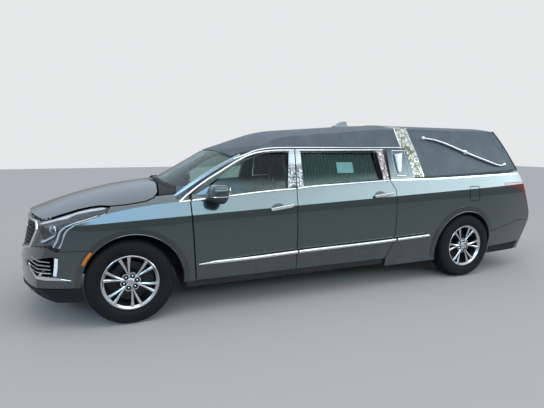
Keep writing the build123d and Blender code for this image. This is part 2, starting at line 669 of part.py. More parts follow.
nodes = {"hood": make_hood, "roof_shell": make_roof, "gate": make_gate,
         "headlamps": lambda: pair(make_headlamp()), "tail_lamps": lambda: pair(make_tail_lamp()),
         "front_bumper": make_front_bumper, "front_valance": make_valance, "grille": make_grille,
         "rear_bumper": make_rear_bumper, "floor_pan": make_floor, "bulkhead": make_bulkhead,
         "wheel_liners": lambda: make_liners(0, FRONT_WELL_R, 492, 915, 34),
         "rear_liners": lambda: make_liners(WHEELBASE, 432, 640, 900, WALL + 5),
         "engine": make_engine, "front_suspension": make_front_suspension,
         "rear_suspension": make_rear_suspension, "exhaust": make_exhaust, "fuel_tank": make_tank,
         "casket_deck": make_casket_deck, "dashboard": make_dashboard, "steering_wheel": make_steering_wheel,
         "roof_band": make_roof_band, "antenna_fin": make_fin, "fuel_flap": make_fuel_flap,
         "front_seats": lambda: pair(make_seat(-370)), "fenders": lambda: pair(make_fender()),
         "landau_bars": lambda: pair(make_landau())}
sides = {"body_side": make_body_side, "mirror": make_mirror, "knuckle": make_knuckle, "curtain": make_curtain,
         "door_front": lambda: make_door(FRONT_DOOR, FRONT_WINDOW, FRONT_HANDLE),
         "door_rear": lambda: make_door(REAR_DOOR, REAR_WINDOW, REAR_HANDLE),
         "window_front": lambda: make_glass(FRONT_WINDOW), "window_rear": lambda: make_glass(REAR_WINDOW)}
for name, make in nodes.items():
    send(name, make())
flap_recess = left(outline(FUEL_FLAP, 4, 22)) - lower_volume(42)
quarter_wall = make_quarter()
send("quarter_left", quarter_wall - flap_recess)
send("quarter_right", mirror(quarter_wall, Plane.XZ))
for name, make in sides.items():
    send_sides(name, make())
send("windscreen", biggest((glass_layer & screen_prism(-1.5)) - lower))
send("gate_glass", glass_layer & rear_prism(mirrored(GATE_WINDOW, 0), -1.5))
for where, (x, side, phase) in WHEELS.items():
    send(f"tyre_{where}", make_tyre(x, side))
    send(f"wheel_{where}", make_wheel(x, side, phase))
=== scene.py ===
import json
import math

import bpy
import numpy as np
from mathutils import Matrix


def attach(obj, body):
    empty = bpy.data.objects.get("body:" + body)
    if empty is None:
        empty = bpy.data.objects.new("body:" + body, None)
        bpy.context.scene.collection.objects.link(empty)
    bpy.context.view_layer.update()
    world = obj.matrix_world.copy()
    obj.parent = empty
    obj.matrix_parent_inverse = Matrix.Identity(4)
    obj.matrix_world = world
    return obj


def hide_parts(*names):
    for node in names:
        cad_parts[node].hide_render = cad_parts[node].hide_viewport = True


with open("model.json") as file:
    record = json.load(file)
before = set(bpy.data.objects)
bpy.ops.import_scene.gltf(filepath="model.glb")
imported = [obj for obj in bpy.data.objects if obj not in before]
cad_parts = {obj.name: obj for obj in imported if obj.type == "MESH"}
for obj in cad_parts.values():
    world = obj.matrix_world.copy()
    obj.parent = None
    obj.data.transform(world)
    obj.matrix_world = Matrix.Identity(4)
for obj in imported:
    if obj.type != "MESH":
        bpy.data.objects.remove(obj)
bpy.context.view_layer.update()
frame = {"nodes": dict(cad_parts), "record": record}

# Positions below are in metres from the front axle, and the shared frame's origin is this far behind it
MIDDLE_X = 2.0745
LEFT, RIGHT = -1, 1
SIDES = {LEFT: "left", RIGHT: "right"}
WHEELBASE = 3.830
HALF_TRACK = 0.820
TYRE_R = 0.381

# Body sections, as in the part's source: heights and distances out of the plan line. A plan is the x at
# which its front bend starts, that bend's radius, and the same two for the rear bend
HALF_WIDTH = 0.950
LOWER_PLAN = (-0.200, 1.000, 4.000, 6.000)
GREEN_PLAN = (1.300, 4.000, 3.400, 14.000)
LEAN = math.radians(2.06)
LOWER_ARCS = ((0.340, -0.028, 0.520, -0.009, 0.700, 0.000), (0.700, 0.000, 0.820, -0.003, 0.930, -0.012))
LOWER_LINES = ((-0.200, -0.120, 0.340, -0.028), (0.930, -0.012, 1.130, -0.074),
               (1.130, -0.074, 1.600, -0.225))
GREEN_ARC = (1.000, -0.050, 1.450, -0.193, 1.900, -0.425)
HOOD_LINE = ((-1.350, 0.787), (-0.300, 1.190), (1.000, 1.284), (2.700, 1.368), (5.600, 1.410))
HOOD_RADII = (3.750, 9.000, 9.000)
HOOD_COSINE = 0.95
HOOD_CROWN, ROOF_CROWN, NOSE_CROWN, SCREEN_CROWN = 2.5, 2.8, 1.5, 1.45
ROOF_LINE = ((0.600, 1.452), (1.498, 1.744), (2.879, 1.841), (5.400, 1.811))
ROOF_RADII = (1.340, 9.500)
SCREEN_SLOPE = math.radians(29.3)
COWL_X, COWL_Z = 0.284, 1.2234
REAR_FACE = ((0.340, 0.600, 0.750, 1.190, 1.990), (5.010, 5.115, 5.105, 4.920, 4.450))


# Body surfaces

def circle_through(z0, o0, z1, o1, z2, o2):
    """Centre and radius of the circle through three points, from the two perpendicular bisectors."""
    a = np.array([[z1 - z0, o1 - o0], [z2 - z1, o2 - o1]])
    b = np.array([(z1 ** 2 - z0 ** 2 + o1 ** 2 - o0 ** 2) / 2, (z2 ** 2 - z1 ** 2 + o2 ** 2 - o1 ** 2) / 2])
    zc, oc = np.linalg.solve(a, b)
    return zc, oc, math.hypot(z0 - zc, o0 - oc)


def arc_out(z, arc):
    """Distance out of an arc at height z: centre plus the root of radius squared less height squared."""
    zc, oc, radius = circle_through(*arc)
    return oc + np.sqrt(np.maximum(radius ** 2 - (z - zc) ** 2, 0))


def lower_out(z):
    """Section of the lower body: straight pieces and two arcs, chosen by height."""
    out = np.full(z.shape, LOWER_LINES[0][1])
    for z0, o0, z1, o1 in LOWER_LINES:
        out = np.where(z >= z0, o0 + (z - z0) * (o1 - o0) / (z1 - z0), out)
    for arc in LOWER_ARCS:
        out = np.where((z >= arc[0]) & (z < arc[4]), arc_out(z, arc), out)
    return out


def plan_y(x, out, front_x, front_r, rear_x, rear_r):
    """Distance from the middle plane: straight in the middle, at each end a circle of radius plus out."""
    front = np.sqrt(np.maximum((front_r + out) ** 2 - (x - front_x) ** 2, 0)) - (front_r - HALF_WIDTH)
    rear = np.sqrt(np.maximum((rear_r + out) ** 2 - (x - rear_x) ** 2, 0)) - (rear_r - HALF_WIDTH)
    return np.where(x < front_x, front, np.where(x > rear_x, rear, HALF_WIDTH + out))


def lower_y(x, z, lift=0.0):
    """Left side of the lower body: its section leans by 2.06 degrees and follows the plan line."""
    x, z = np.asarray(x, float), np.asarray(z, float)
    along = x * math.cos(LEAN) + z * math.sin(LEAN)
    high = z * math.cos(LEAN) - x * math.sin(LEAN)
    return -plan_y(along, lower_out(high) + lift, *LOWER_PLAN)


def green_y(x, z, lift=0.0):
    """Left side of the upper body: one arc in section, carried along its own plan line."""
    x, z = np.asarray(x, float), np.asarray(z, float)
    return -plan_y(x, arc_out(z, GREEN_ARC) + lift, *GREEN_PLAN)


def body_y(x, z, lift=0.0):
    """Whichever of the two side surfaces stands further out."""
    return np.minimum(lower_y(x, z, lift), green_y(x, z, lift))


def on_skin(x, z, lift, side, surface=body_y):
    """Points in space over side view spots, lifted off one of the side surfaces."""
    x, z = np.broadcast_arrays(np.asarray(x, float), np.asarray(z, float))
    return np.stack([x, -side * surface(x, z, np.broadcast_to(lift, x.shape)), z], -1)


def side_line(x, corners, radii):
    """Height of a side view line at x: the lowest of its straight runs, with an arc at each inner corner.
    The arc's centre lies a radius under both runs, and it holds between the two tangent points."""
    p = np.asarray(corners, float)
    slope = np.diff(p[:, 1]) / np.diff(p[:, 0])
    z = np.min([p[i, 1] + slope[i] * (x - p[i, 0]) for i in range(len(slope))], axis=0)
    for i, radius in enumerate(radii):
        a, b = math.atan(slope[i]), math.atan(slope[i + 1])
        reach = radius / math.cos((a - b) / 2)
        cx = p[i + 1, 0] + reach * math.sin((a + b) / 2)
        cz = p[i + 1, 1] - reach * math.cos((a + b) / 2)
        near = (x > cx - radius * math.sin(a)) & (x < cx - radius * math.sin(b))
        z = np.where(near, cz + np.sqrt(np.maximum(radius ** 2 - (x - cx) ** 2, 0)), z)
    return z


def crown(y, radius):
    """How far a crowned surface has fallen at y: radius less the root of radius squared less y squared."""
    return radius - np.sqrt(np.maximum(radius ** 2 - y ** 2, 0))


def hood_z(x, y):
    """Top of the hood and shoulders: the hood line less its crown over the cosine of the hood's slope."""
    return side_line(x, HOOD_LINE, HOOD_RADII) - crown(y, HOOD_CROWN) / HOOD_COSINE


def roof_z(x, y):
    """Top of the roof: the roof line less its crown."""
    return side_line(x, ROOF_LINE, ROOF_RADII) - crown(y, ROOF_CROWN)


def nose_x(y, z):
    """Front face: the hindmost of an upright, a sloping and a chin line, set back by the nose's crown."""
    face = np.maximum(-0.966, -1.044 + (z - 0.240) * 0.2347)
    return np.maximum(face, -0.915 - (z - 0.248) * 0.762) + crown(y, NOSE_CROWN)


def nose_spots(eye, turn, climb, inset=0.0):
    """Points where rays from an eye behind the left front corner leave the body. A ray's direction has
    turn from straight ahead towards the left and climb upwards, in radians; the distance along it is
    halved in again and again between inside and outside. Inset keeps the point that far under the skin."""
    way = np.stack([-np.cos(climb) * np.cos(turn), -np.cos(climb) * np.sin(turn), np.sin(climb)], -1)
    near, far = np.zeros(turn.shape), np.full(turn.shape, 1.2)
    for _ in range(26):
        t = (near + far) / 2
        x, y, z = [eye[i] + t * way[..., i] for i in range(3)]
        held = ((z < hood_z(x, y) - inset) & (x > nose_x(y, z) + inset)
                & (y > lower_y(x, z, np.broadcast_to(-inset, x.shape))))
        near, far = np.where(held, t, near), np.where(held, far, t)
    return np.array(eye) + near[..., None] * way


def screen_point(y, up):
    """Point on the windscreen: up along its slope from the cowl, set back by the screen's crown."""
    fall = crown(y, SCREEN_CROWN)
    return np.stack([COWL_X + up * math.cos(SCREEN_SLOPE) + fall * math.sin(SCREEN_SLOPE), y + 0 * up,
                     COWL_Z + up * math.sin(SCREEN_SLOPE) - fall * math.cos(SCREEN_SLOPE)], -1)


# Grids, lines and sections

def unit_grid(rows, columns, low=0.0):
    """Shares from low to one over a grid: up its rows, and along its columns."""
    return np.meshgrid(np.linspace(low, 1, rows), np.linspace(low, 1, columns), indexing="ij")


def full_turn(count):
    """Evenly spaced angles of one turn; the last one stops short of the first."""
    return np.arange(count) / count * 2 * np.pi


def grid_faces(rows, columns, wrap_rows=False, wrap_columns=False):
    """Quads between neighbours of a grid; a wrapped direction joins its last line to its first."""
    i = np.arange(rows if wrap_rows else rows - 1)[:, None]
    j = np.arange(columns if wrap_columns else columns - 1)[None, :]
    i2, j2 = (i + 1) % rows, (j + 1) % columns
    corners = [i * columns + j, i * columns + j2, i2 * columns + j2, i2 * columns + j]
    return np.stack(corners, -1).reshape(-1, 4)


def facing(faces, keep):
    """Faces as they are where keep is true, else turned round, for the mirror image."""
    if keep:
        return faces
    return faces[:, ::-1] if isinstance(faces, np.ndarray) else [tuple(reversed(f)) for f in faces]


def tube_faces(rings, around):
    """Faces of a closed section carried along a path, with both ends capped."""
    faces = [tuple(f) for f in grid_faces(rings, around, wrap_columns=True)]
    last = (rings - 1) * around
    return faces + [tuple(range(around - 1, -1, -1)), tuple(range(last, last + around))]


def unit_ways(path):
    """Direction of a path at each of its points, one long."""
    way = np.gradient(path, axis=0)
    return way / np.linalg.norm(way, axis=1)[:, None]


def beside(path):
    """Direction square to a flat path at each of its points: the path's own turned by 90 degrees."""
    way = unit_ways(path)
    return np.stack([-way[:, 1], way[:, 0]], 1)


def through(points, count):
    """Smooth line through points: cubic Hermite pieces with slopes from the neighbours, evenly spaced."""
    p = np.asarray(points, float)
    s = np.concatenate([[0], np.cumsum(np.linalg.norm(np.diff(p, axis=0), axis=1))])
    slope = np.gradient(p, s, axis=0)
    t = np.linspace(0, s[-1], count)
    k = np.clip(np.searchsorted(s, t, side="right") - 1, 0, len(s) - 2)
    h = (s[k + 1] - s[k])[:, None]
    u = (t - s[k])[:, None] / h
    return ((2 * u ** 3 - 3 * u ** 2 + 1) * p[k] + (u ** 3 - 2 * u ** 2 + u) * h * slope[k]
            + (3 * u ** 2 - 2 * u ** 3) * p[k + 1] + (u ** 3 - u ** 2) * h * slope[k + 1])


def line_part(points, start, end, count):
    """The stretch of a line of side view points between two x values, evenly spaced."""
    full = through(points, 400)
    x = np.linspace(start, end, count)
    return np.stack([x, np.interp(x, full[:, 0], full[:, 1])], 1)


def between(low, high, rows):
    """Grid of side view spots between two lines with the same number of points."""
    v = np.linspace(0, 1, rows)[:, None]
    return tuple((1 - v) * low[None, :, i] + v * high[None, :, i] for i in (0, 1))


def quad(corners, rows, columns):
    """Grid in a quadrilateral by bilinear steps; corners run from the lower front one to the rear and up."""
    v, u = unit_grid(rows, columns)
    spots = np.stack([(1 - u) * (1 - v), u * (1 - v), u * v, (1 - u) * v], -1) @ np.asarray(corners, float)
    return spots[..., 0], spots[..., 1]


def pillow(rows, columns, edge_rows, edge_columns, power=0.5):
    """One in the middle of a grid, falling to nought at its edges as a power of the distance to them."""
    v, u = unit_grid(rows, columns)
    near = np.minimum(np.minimum(v, 1 - v) / edge_rows, np.minimum(u, 1 - u) / edge_columns)
    return np.clip(near, 0, 1) ** power


def closed_shell(outer, inner):
    """Points and faces of a sheet with thickness: two grids joined round their four edges."""
    rows, columns = outer.shape[:2]
    n = rows * columns
    top = grid_faces(rows, columns)
    edge = np.concatenate([np.arange(columns), np.arange(1, rows) * columns + columns - 1,
                           (rows - 1) * columns + np.arange(columns - 2, -1, -1),
                           np.arange(rows - 2, 0, -1) * columns])
    after = np.roll(edge, -1)
    rim = np.stack([after, edge, edge + n, after + n], 1)
    return (np.concatenate([outer.reshape(-1, 3), inner.reshape(-1, 3)]),
            np.concatenate([top, top[:, ::-1] + n, rim]))


def tube(path, radius, around=12, flat=1.0, up=(0, 0, 1)):
    """Points and faces of a round section carried along a path of points in space. Each ring is the path
    plus radius times cosine and sine along two directions square to it; flat squeezes the second."""
    path = np.asarray(path, float)
    way = unit_ways(path)
    first = np.cross(way, np.broadcast_to(np.asarray(up, float), way.shape))
    first /= np.linalg.norm(first, axis=1)[:, None]
    second = np.cross(way, first)
    a = full_turn(around)
    radius = np.broadcast_to(radius, (len(path),))[:, None, None]
    points = (path[:, None, :] + radius * (np.cos(a)[None, :, None] * first[:, None, :]
                                           + flat * np.sin(a)[None, :, None] * second[:, None, :]))
    return points.reshape(-1, 3), tube_faces(len(path), around)


def revolved(centre, axis, profile, turns, loop=False):
    """Points and faces of a profile of radius and distance along an axis, turned about it. It runs from the
    near end along the outside to the far end, where both ends are capped, unless it closes as a loop."""
    w = np.asarray(axis, float) / np.linalg.norm(axis)
    u = np.cross(w, (0, 0, 1) if abs(w[2]) < 0.9 else (1, 0, 0))
    u /= np.linalg.norm(u)
    v = np.cross(w, u)
    p = np.asarray(profile, float)
    a = full_turn(turns)[:, None]
    ring = np.cos(a)[..., None] * u + np.sin(a)[..., None] * v
    points = (np.asarray(centre, float) + p[:, :1] * ring + p[:, 1:] * w).reshape(-1, 3)
    faces = grid_faces(turns, len(p), wrap_rows=True, wrap_columns=loop)
    if loop:
        return points, faces
    first = np.arange(turns) * len(p)
    return points, facing([tuple(f) for f in faces] + [tuple(first[::-1]), tuple(first + len(p) - 1)], False)


def lobe(value, power):
    """Power of a number's size with its sign kept."""
    return np.sign(value) * np.abs(value) ** power


def tilted(shape, tilt):
    """Points turned about the Y axis."""
    c, s = math.cos(tilt), math.sin(tilt)
    return shape @ np.array([[c, 0, s], [0, 1, 0], [-s, 0, c]])


def rounded_box(centre, size, power=5, rows=24, columns=40, tilt=0.0):
    """Points and faces of a box with soft corners: each coordinate is half the size times the sine or
    cosine of the angles raised to 2 / power, sign kept. Tilt turns it about the Y axis."""
    v = np.linspace(-np.pi / 2, np.pi / 2, rows)[1:-1, None]
    u = full_turn(columns)[None, :]
    soft = 2 / power
    wide, high = lobe(np.cos(v), soft), lobe(np.sin(v), soft) + 0 * u
    shape = np.stack([wide * lobe(np.cos(u), soft), wide * lobe(np.sin(u), soft), high], -1).reshape(-1, 3)
    shape = tilted(np.concatenate([shape, [(0, 0, -1), (0, 0, 1)]]) * (np.asarray(size) / 2), tilt)
    faces = [tuple(f) for f in grid_faces(rows - 2, columns, wrap_columns=True)]
    n = (rows - 2) * columns
    for j in range(columns):
        k = (j + 1) % columns
        faces += [(n, k, j), (n + 1, n - columns + j, n - columns + k)]
    return np.asarray(centre) + shape, faces


# Pieces

def add_piece(name, points, faces, finish, body="body", crease=40, marks=None, radius=None):
    """Mesh object from points in metres from the front axle; marks gives each face's material, and radius
    is kept as an attribute for turned metal."""
    points = np.asarray(points, float).reshape(-1, 3) - (MIDDLE_X, 0, 0)
    data = bpy.data.meshes.new(name)
    data.from_pydata(points.tolist(), [], [list(map(int, f)) for f in faces])
    for mat in finish if isinstance(finish, (list, tuple)) else [finish]:
        data.materials.append(mat)
    if marks is not None:
        data.polygons.foreach_set("material_index", np.asarray(marks, np.int32))
    if radius is not None:
        held = data.attributes.new("radius", "FLOAT", "POINT")
        held.data.foreach_set("value", np.asarray(radius, np.float32))
    data.validate()
    data.shade_smooth()
    data.set_sharp_from_angle(angle=math.radians(crease))
    made = bpy.data.objects.new(name, data)
    bpy.context.scene.collection.objects.link(made)
    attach(made, body)
    return made


def join_parts(name, parts, finish, body="body", crease=35):
    """One piece from several lots of points and faces."""
    points, faces, start = [], [], 0
    for lot, some in parts:
        points.append(np.asarray(lot).reshape(-1, 3))
        faces += [tuple(int(v) + start for v in f) for f in some]
        start += len(points[-1])
    return add_piece(name, np.concatenate(points), faces, finish, body, crease)


def moulding(name, path, half_width, section, side, body="body", finish=None, surface=body_y):
    """Strip on the body's side along a path in side view. Its section is pairs of distance across, from -1
    to 1, and height over the surface. Each point is the path plus across times half width along the path's
    normal, and its Y is the surface's own, lifted by the height."""
    across, lift = np.transpose(section)
    across = across * np.reshape(half_width, (-1, 1))
    spots = path[:, None, :] + beside(path)[:, None, :] * across[..., None]
    faces = facing(tube_faces(len(path), len(section)), side == RIGHT)
    points = on_skin(spots[..., 0], spots[..., 1], lift, side, surface)
    return add_piece(name, points, faces, finish or CHROME, body)


def panel(name, spots, lift, thick, finish, side, body="body", surface=body_y, crease=40):
    """Sheet on the body's side over a grid of side view spots: the outer face is the surface plus lift,
    the inner one lies thick under it."""
    x, z = spots
    under = np.minimum(lift, np.mean(np.broadcast_to(lift, x.shape))) - thick
    points, faces = closed_shell(on_skin(x, z, lift, side, surface), on_skin(x, z, under, side, surface))
    return add_piece(name, points, facing(faces, side == LEFT), finish, body, crease)


def paint_faces(node, finish, test):
    """Give a CAD node a second material on the faces that pass a test of centre and normal arrays."""
    data = frame["nodes"][node].data
    count = len(data.polygons)
    centre, normal = np.empty(count * 3), np.empty(count * 3)
    data.polygons.foreach_get("center", centre)
    data.polygons.foreach_get("normal", normal)
    centre = centre.reshape(-1, 3) + (MIDDLE_X, 0, 0)
    index = np.empty(count, np.int32)
    data.polygons.foreach_get("material_index", index)
    index[test(centre, normal.reshape(-1, 3))] = len(data.materials)
    data.materials.append(finish)
    data.polygons.foreach_set("material_index", index)
    data.update()


# Materials

def set_sockets(tree, node, sockets):
    """Link a socket's value where it comes from another node, and set it where it is a constant."""
    for key, value in sockets.items():
        if isinstance(value, bpy.types.NodeSocket):
            tree.links.new(value, node.inputs[key])
        else:
            node.inputs[key].default_value = value


def add_node(tree, kind, sockets=None, **settings):
    """New node of this kind, with its settings made and its sockets set or linked."""
    made = tree.nodes.new(kind)
    for key, value in settings.items():
        setattr(made, key, value)
    set_sockets(tree, made, sockets or {})
    return made


def value_math(tree, operation, first, second=0.0):
    """Result of a math node on two values, or on the first alone."""
    return add_node(tree, "ShaderNodeMath", {0: first, 1: second}, operation=operation).outputs[0]


def blend_colour(tree, factor, first, second):
    """Colour between first and second by the factor."""
    first, second = [(*c, 1) if isinstance(c, tuple) else c for c in (first, second)]
    return add_node(tree, "ShaderNodeMix", {0: factor, 6: first, 7: second}, data_type="RGBA").outputs[2]


def spread(tree, value, low, high, to_low=0.0, to_high=1.0, curve="LINEAR"):
    """Value carried from the range low to high onto to_low to to_high, and held inside it."""
    sockets = {"Value": value, "From Min": low, "From Max": high, "To Min": to_low, "To Max": to_high}
    return add_node(tree, "ShaderNodeMapRange", sockets, interpolation_type=curve).outputs[0]


def noise(tree, where, scale, detail=2.0, roughness=0.5):
    """Soft noise from 0 to 1 at a place."""
    sockets = {"Vector": where, "Scale": scale, "Detail": detail, "Roughness": roughness}
    return add_node(tree, "ShaderNodeTexNoise", sockets).outputs["Fac"]


def cell_edges(tree, where, scale):
    """Distance from the nearest edge between two cells."""
    sockets = {"Vector": where, "Scale": scale}
    return add_node(tree, "ShaderNodeTexVoronoi", sockets, feature="DISTANCE_TO_EDGE").outputs["Distance"]


def stretched(tree, place, scale):
    """Place multiplied by one factor along each axis."""
    return add_node(tree, "ShaderNodeVectorMath", {0: place, 1: scale}, operation="MULTIPLY").outputs[0]


def height_of(tree, place):
    """Z of a place."""
    return add_node(tree, "ShaderNodeSeparateXYZ", {"Vector": place}).outputs["Z"]


def bump(tree, height, strength, distance):
    """Normal tilted by a height."""
    sockets = {"Height": height, "Strength": strength, "Distance": distance}
    return add_node(tree, "ShaderNodeBump", sockets).outputs[0]


def new_group(name, inputs, outputs):
    """Node group with the given sockets and object coordinates at hand."""
    tree = bpy.data.node_groups.new(name, "ShaderNodeTree")
    for label, kind, value in inputs:
        made = tree.interface.new_socket(name=label, in_out="INPUT", socket_type="NodeSocket" + kind)
        if value is not None:
            made.default_value = value
    for label, kind in outputs:
        tree.interface.new_socket(name=label, in_out="OUTPUT", socket_type="NodeSocket" + kind)
    given = tree.nodes.new("NodeGroupInput").outputs
    taken = tree.nodes.new("NodeGroupOutput")
    return tree, given, taken, add_node(tree, "ShaderNodeTexCoord").outputs["Object"]


def flake_group():
    """Metal flakes in paint: each small cell gets its own brightness, and a broad noise shifts all."""
    tree, given, taken, place = new_group("flakes", [("Colour", "Color", None), ("Strength", "Float", 0.25)],
                                          [("Colour", "Color")])
    cell = add_node(tree, "ShaderNodeTexVoronoi", {"Vector": place, "Scale": 900.0})
    grey = add_node(tree, "ShaderNodeSeparateColor", {"Color": cell.outputs["Color"]}).outputs[0]
    amount = value_math(tree, "MULTIPLY", value_math(tree, "SUBTRACT", grey, 0.5), given["Strength"])
    broad = spread(tree, noise(tree, place, 1.3, 3.0), 0.3, 0.7, 0.96, 1.04)
    amount = value_math(tree, "ADD", amount, broad)
    bright = add_node(tree, "ShaderNodeVectorMath", {0: given["Colour"], "Scale": amount}, operation="SCALE")
    set_sockets(tree, taken, {"Colour": bright.outputs[0]})
    return tree


def dust_group():
    """Road dust: strongest near the ground, gone at the given height, broken up by noise of two sizes."""
    tree, given, taken, place = new_group("dust", [("Colour", "Color", None), ("Height", "Float", 0.7),
                                                   ("Amount", "Float", 0.3)],
                                          [("Colour", "Color"), ("Mask", "Float")])
    low = spread(tree, height_of(tree, place), given["Height"], 0.0)
    cloud = value_math(tree, "MULTIPLY", noise(tree, place, 5.0, 4.0), noise(tree, place, 60.0, 2.0))
    mask = value_math(tree, "MULTIPLY", value_math(tree, "MULTIPLY", low, given["Amount"]),
                      spread(tree, cloud, 0.12, 0.38))
    dusty = blend_colour(tree, mask, given["Colour"], (0.20, 0.185, 0.16))
    set_sockets(tree, taken, {"Mask": mask, "Colour": dusty})
    return tree


def grain_group():
    """Embossed grain: distance to the edges of small cells, softened by noise, as height and normal."""
    tree, given, taken, place = new_group("grain", [("Scale", "Float", 260.0), ("Depth", "Float", 0.3)],
                                          [("Height", "Float"), ("Normal", "Vector")])
    shift = add_node(tree, "ShaderNodeTexNoise", {"Vector": place, "Scale": 90.0}).outputs["Color"]
    bent = add_node(tree, "ShaderNodeVectorMath", {0: shift, 1: (0.004, 0.004, 0.004), 2: place},
                    operation="MULTIPLY_ADD").outputs[0]
    height = value_math(tree, "ADD", spread(tree, cell_edges(tree, bent, given["Scale"]), 0.0, 0.25),
                        noise(tree, place, 700.0, 2.0))
    set_sockets(tree, taken, {"Height": height, "Normal": bump(tree, height, given["Depth"], 0.0008)})
    return tree


def weave_group():
    """Woven cloth: the larger of two crossed bands of threads, with a little noise in each."""
    tree, given, taken, place = new_group("weave", [("Scale", "Float", 500.0), ("Depth", "Float", 0.4)],
                                          [("Height", "Float"), ("Normal", "Vector")])
    sockets = {"Vector": place, "Scale": given["Scale"], "Distortion": 0.6, "Detail": 1.0}
    across, up = [add_node(tree, "ShaderNodeTexWave", sockets, bands_direction=way).outputs["Fac"]
                  for way in "XZ"]
    height = value_math(tree, "MAXIMUM", across, up)
    set_sockets(tree, taken, {"Height": height, "Normal": bump(tree, height, given["Depth"], 0.0005)})
    return tree


def brushed_group():
    """Brush lines: noise stretched by one factor along each axis, as a value and a normal."""
    tree, given, taken, place = new_group("brushed", [("Along", "Vector", (4.0, 400.0, 400.0)),
                                                      ("Depth", "Float", 0.15)],
                                          [("Value", "Float"), ("Normal", "Vector")])
    lines = noise(tree, stretched(tree, place, given["Along"]), 1.0, 3.0, 0.6)
    set_sockets(tree, taken, {"Value": lines, "Normal": bump(tree, lines, given["Depth"], 0.0004)})
    return tree


FLAKES, DUST, GRAIN = flake_group(), dust_group(), grain_group()
WEAVE, BRUSHED = weave_group(), brushed_group()


def use(tree, group, **sockets):
    """A group placed in a material with its own values."""
    made = add_node(tree, "ShaderNodeGroup", node_tree=group)
    set_sockets(tree, made, {key: (*value, 1) if key == "Colour" and isinstance(value, tuple) else value
                             for key, value in sockets.items()})
    return made.outputs


def new_material(name, colour, **values):
    """Principled material; constant values are set on the shader's own sockets."""
    mat = bpy.data.materials.new(name)
    mat.use_nodes = True
    mat.diffuse_color = (*colour, 1)
    tree = mat.node_tree
    shader = tree.nodes["Principled BSDF"]
    set_sockets(tree, shader, {key.replace("_", " ").title().replace("Ior", "IOR"): value
                               for key, value in values.items()})
    shader.inputs["Base Color"].default_value = mat.diffuse_color
    return mat, tree, shader, add_node(tree, "ShaderNodeTexCoord").outputs["Object"]


def car_paint(name, colour, strength=0.28):
    """Metallic paint under a thick clear coat: flakes, with road dust over them that also dulls it."""
    mat, tree, shader, _ = new_material(name, colour, metallic=0.65, coat_weight=1.0, coat_roughness=0.03,
                                        coat_ior=1.7)
    flakes = use(tree, FLAKES, Colour=colour, Strength=strength)
    dust = use(tree, DUST, Height=0.75, Amount=0.35, Colour=flakes["Colour"])
    set_sockets(tree, shader, {"Base Color": dust["Colour"],
                               "Roughness": spread(tree, dust["Mask"], 0.0, 1.0, 0.24, 0.8)})
    return mat


def bright_metal(name, colour, rough=0.06, warm=(0.74, 0.72, 0.69)):
    """Plated metal: its colour and roughness drift with a fine noise, as water marks do."""
    mat, tree, shader, place = new_material(name, colour, metallic=1.0)
    marks = noise(tree, place, 22.0, 5.0, 0.6)
    shade = blend_colour(tree, spread(tree, marks, 0.52, 0.8), colour, warm)
    set_sockets(tree, shader, {"Base Color": shade,
                               "Roughness": spread(tree, marks, 0.4, 0.8, rough, rough + 0.10)})
    return mat


def moulded(name, colour, rough=0.5, dust=0.4, scale=420.0, depth=0.12, **values):
    """Plastic or rubber with a fine grain, dusty low down; a broad noise makes it paler in places."""
    mat, tree, shader, place = new_material(name, colour, **values)
    broad = spread(tree, noise(tree, place, 9.0, 4.0), 0.3, 0.7)
    pale = tuple(c * 1.35 + 0.002 for c in colour)
    dusty = use(tree, DUST, Height=0.8, Amount=dust, Colour=blend_colour(tree, broad, colour, pale))
    set_sockets(tree, shader, {"Base Color": dusty["Colour"],
                               "Roughness": spread(tree, broad, 0.0, 1.0, rough, rough + 0.1),
                               "Normal": use(tree, GRAIN, Scale=scale, Depth=depth)["Normal"]})
    return mat


def brushed_metal(name, colour, dark, rough, along=(4.0, 400.0, 400.0), metallic=1.0):
    """Metal with brush lines, each with its own shade, roughness and slope."""
    mat, tree, shader, _ = new_material(name, colour, metallic=metallic)
    lines = use(tree, BRUSHED, Along=along, Depth=0.12)
    shade = blend_colour(tree, spread(tree, lines["Value"], 0.3, 0.7), colour, dark)
    set_sockets(tree, shader, {"Base Color": shade,
                               "Roughness": spread(tree, lines["Value"], 0.3, 0.7, rough, rough + 0.12),
                               "Normal": lines["Normal"]})
    return mat


def cloth(name, colour, fold, scale=520.0, sheen=0.25):
    """Woven cloth: the threads' height times a broad noise blends two colours."""
    mat, tree, shader, place = new_material(name, colour, roughness=0.9, sheen_weight=sheen)
    threads = use(tree, WEAVE, Scale=scale, Depth=0.35)
    broad = spread(tree, noise(tree, place, 14.0), 0.3, 0.7)
    amount = value_math(tree, "MULTIPLY", threads["Height"], broad)
    set_sockets(tree, shader, {"Base Color": blend_colour(tree, amount, colour, fold),
                               "Normal": threads["Normal"]})
    return mat


def leather(name, colour, pale, scale=300.0, rough=0.42):
    """Grained leather or vinyl, paler where a broad noise wears it and glossier on the grain's tops."""
    mat, tree, shader, place = new_material(name, colour)
    grain = use(tree, GRAIN, Scale=scale, Depth=0.35)
    worn = spread(tree, noise(tree, place, 6.0, 4.0), 0.45, 0.75)
    set_sockets(tree, shader, {"Base Color": blend_colour(tree, worn, colour, pale),
                               "Roughness": spread(tree, grain["Height"], 0.4, 1.4, rough + 0.15, rough),
                               "Normal": grain["Normal"]})
    return mat


def clear(name, colour, deep):
    """Glass or clear plastic: its tint drifts a little with a broad noise."""
    mat, tree, shader, place = new_material(name, colour, metallic=0.0, roughness=0.0, ior=1.33,
                                            transmission_weight=1.0)
    tint = spread(tree, noise(tree, place, 2.0), 0.3, 0.7)
    set_sockets(tree, shader, {"Base Color": blend_colour(tree, tint, colour, deep)})
    return mat


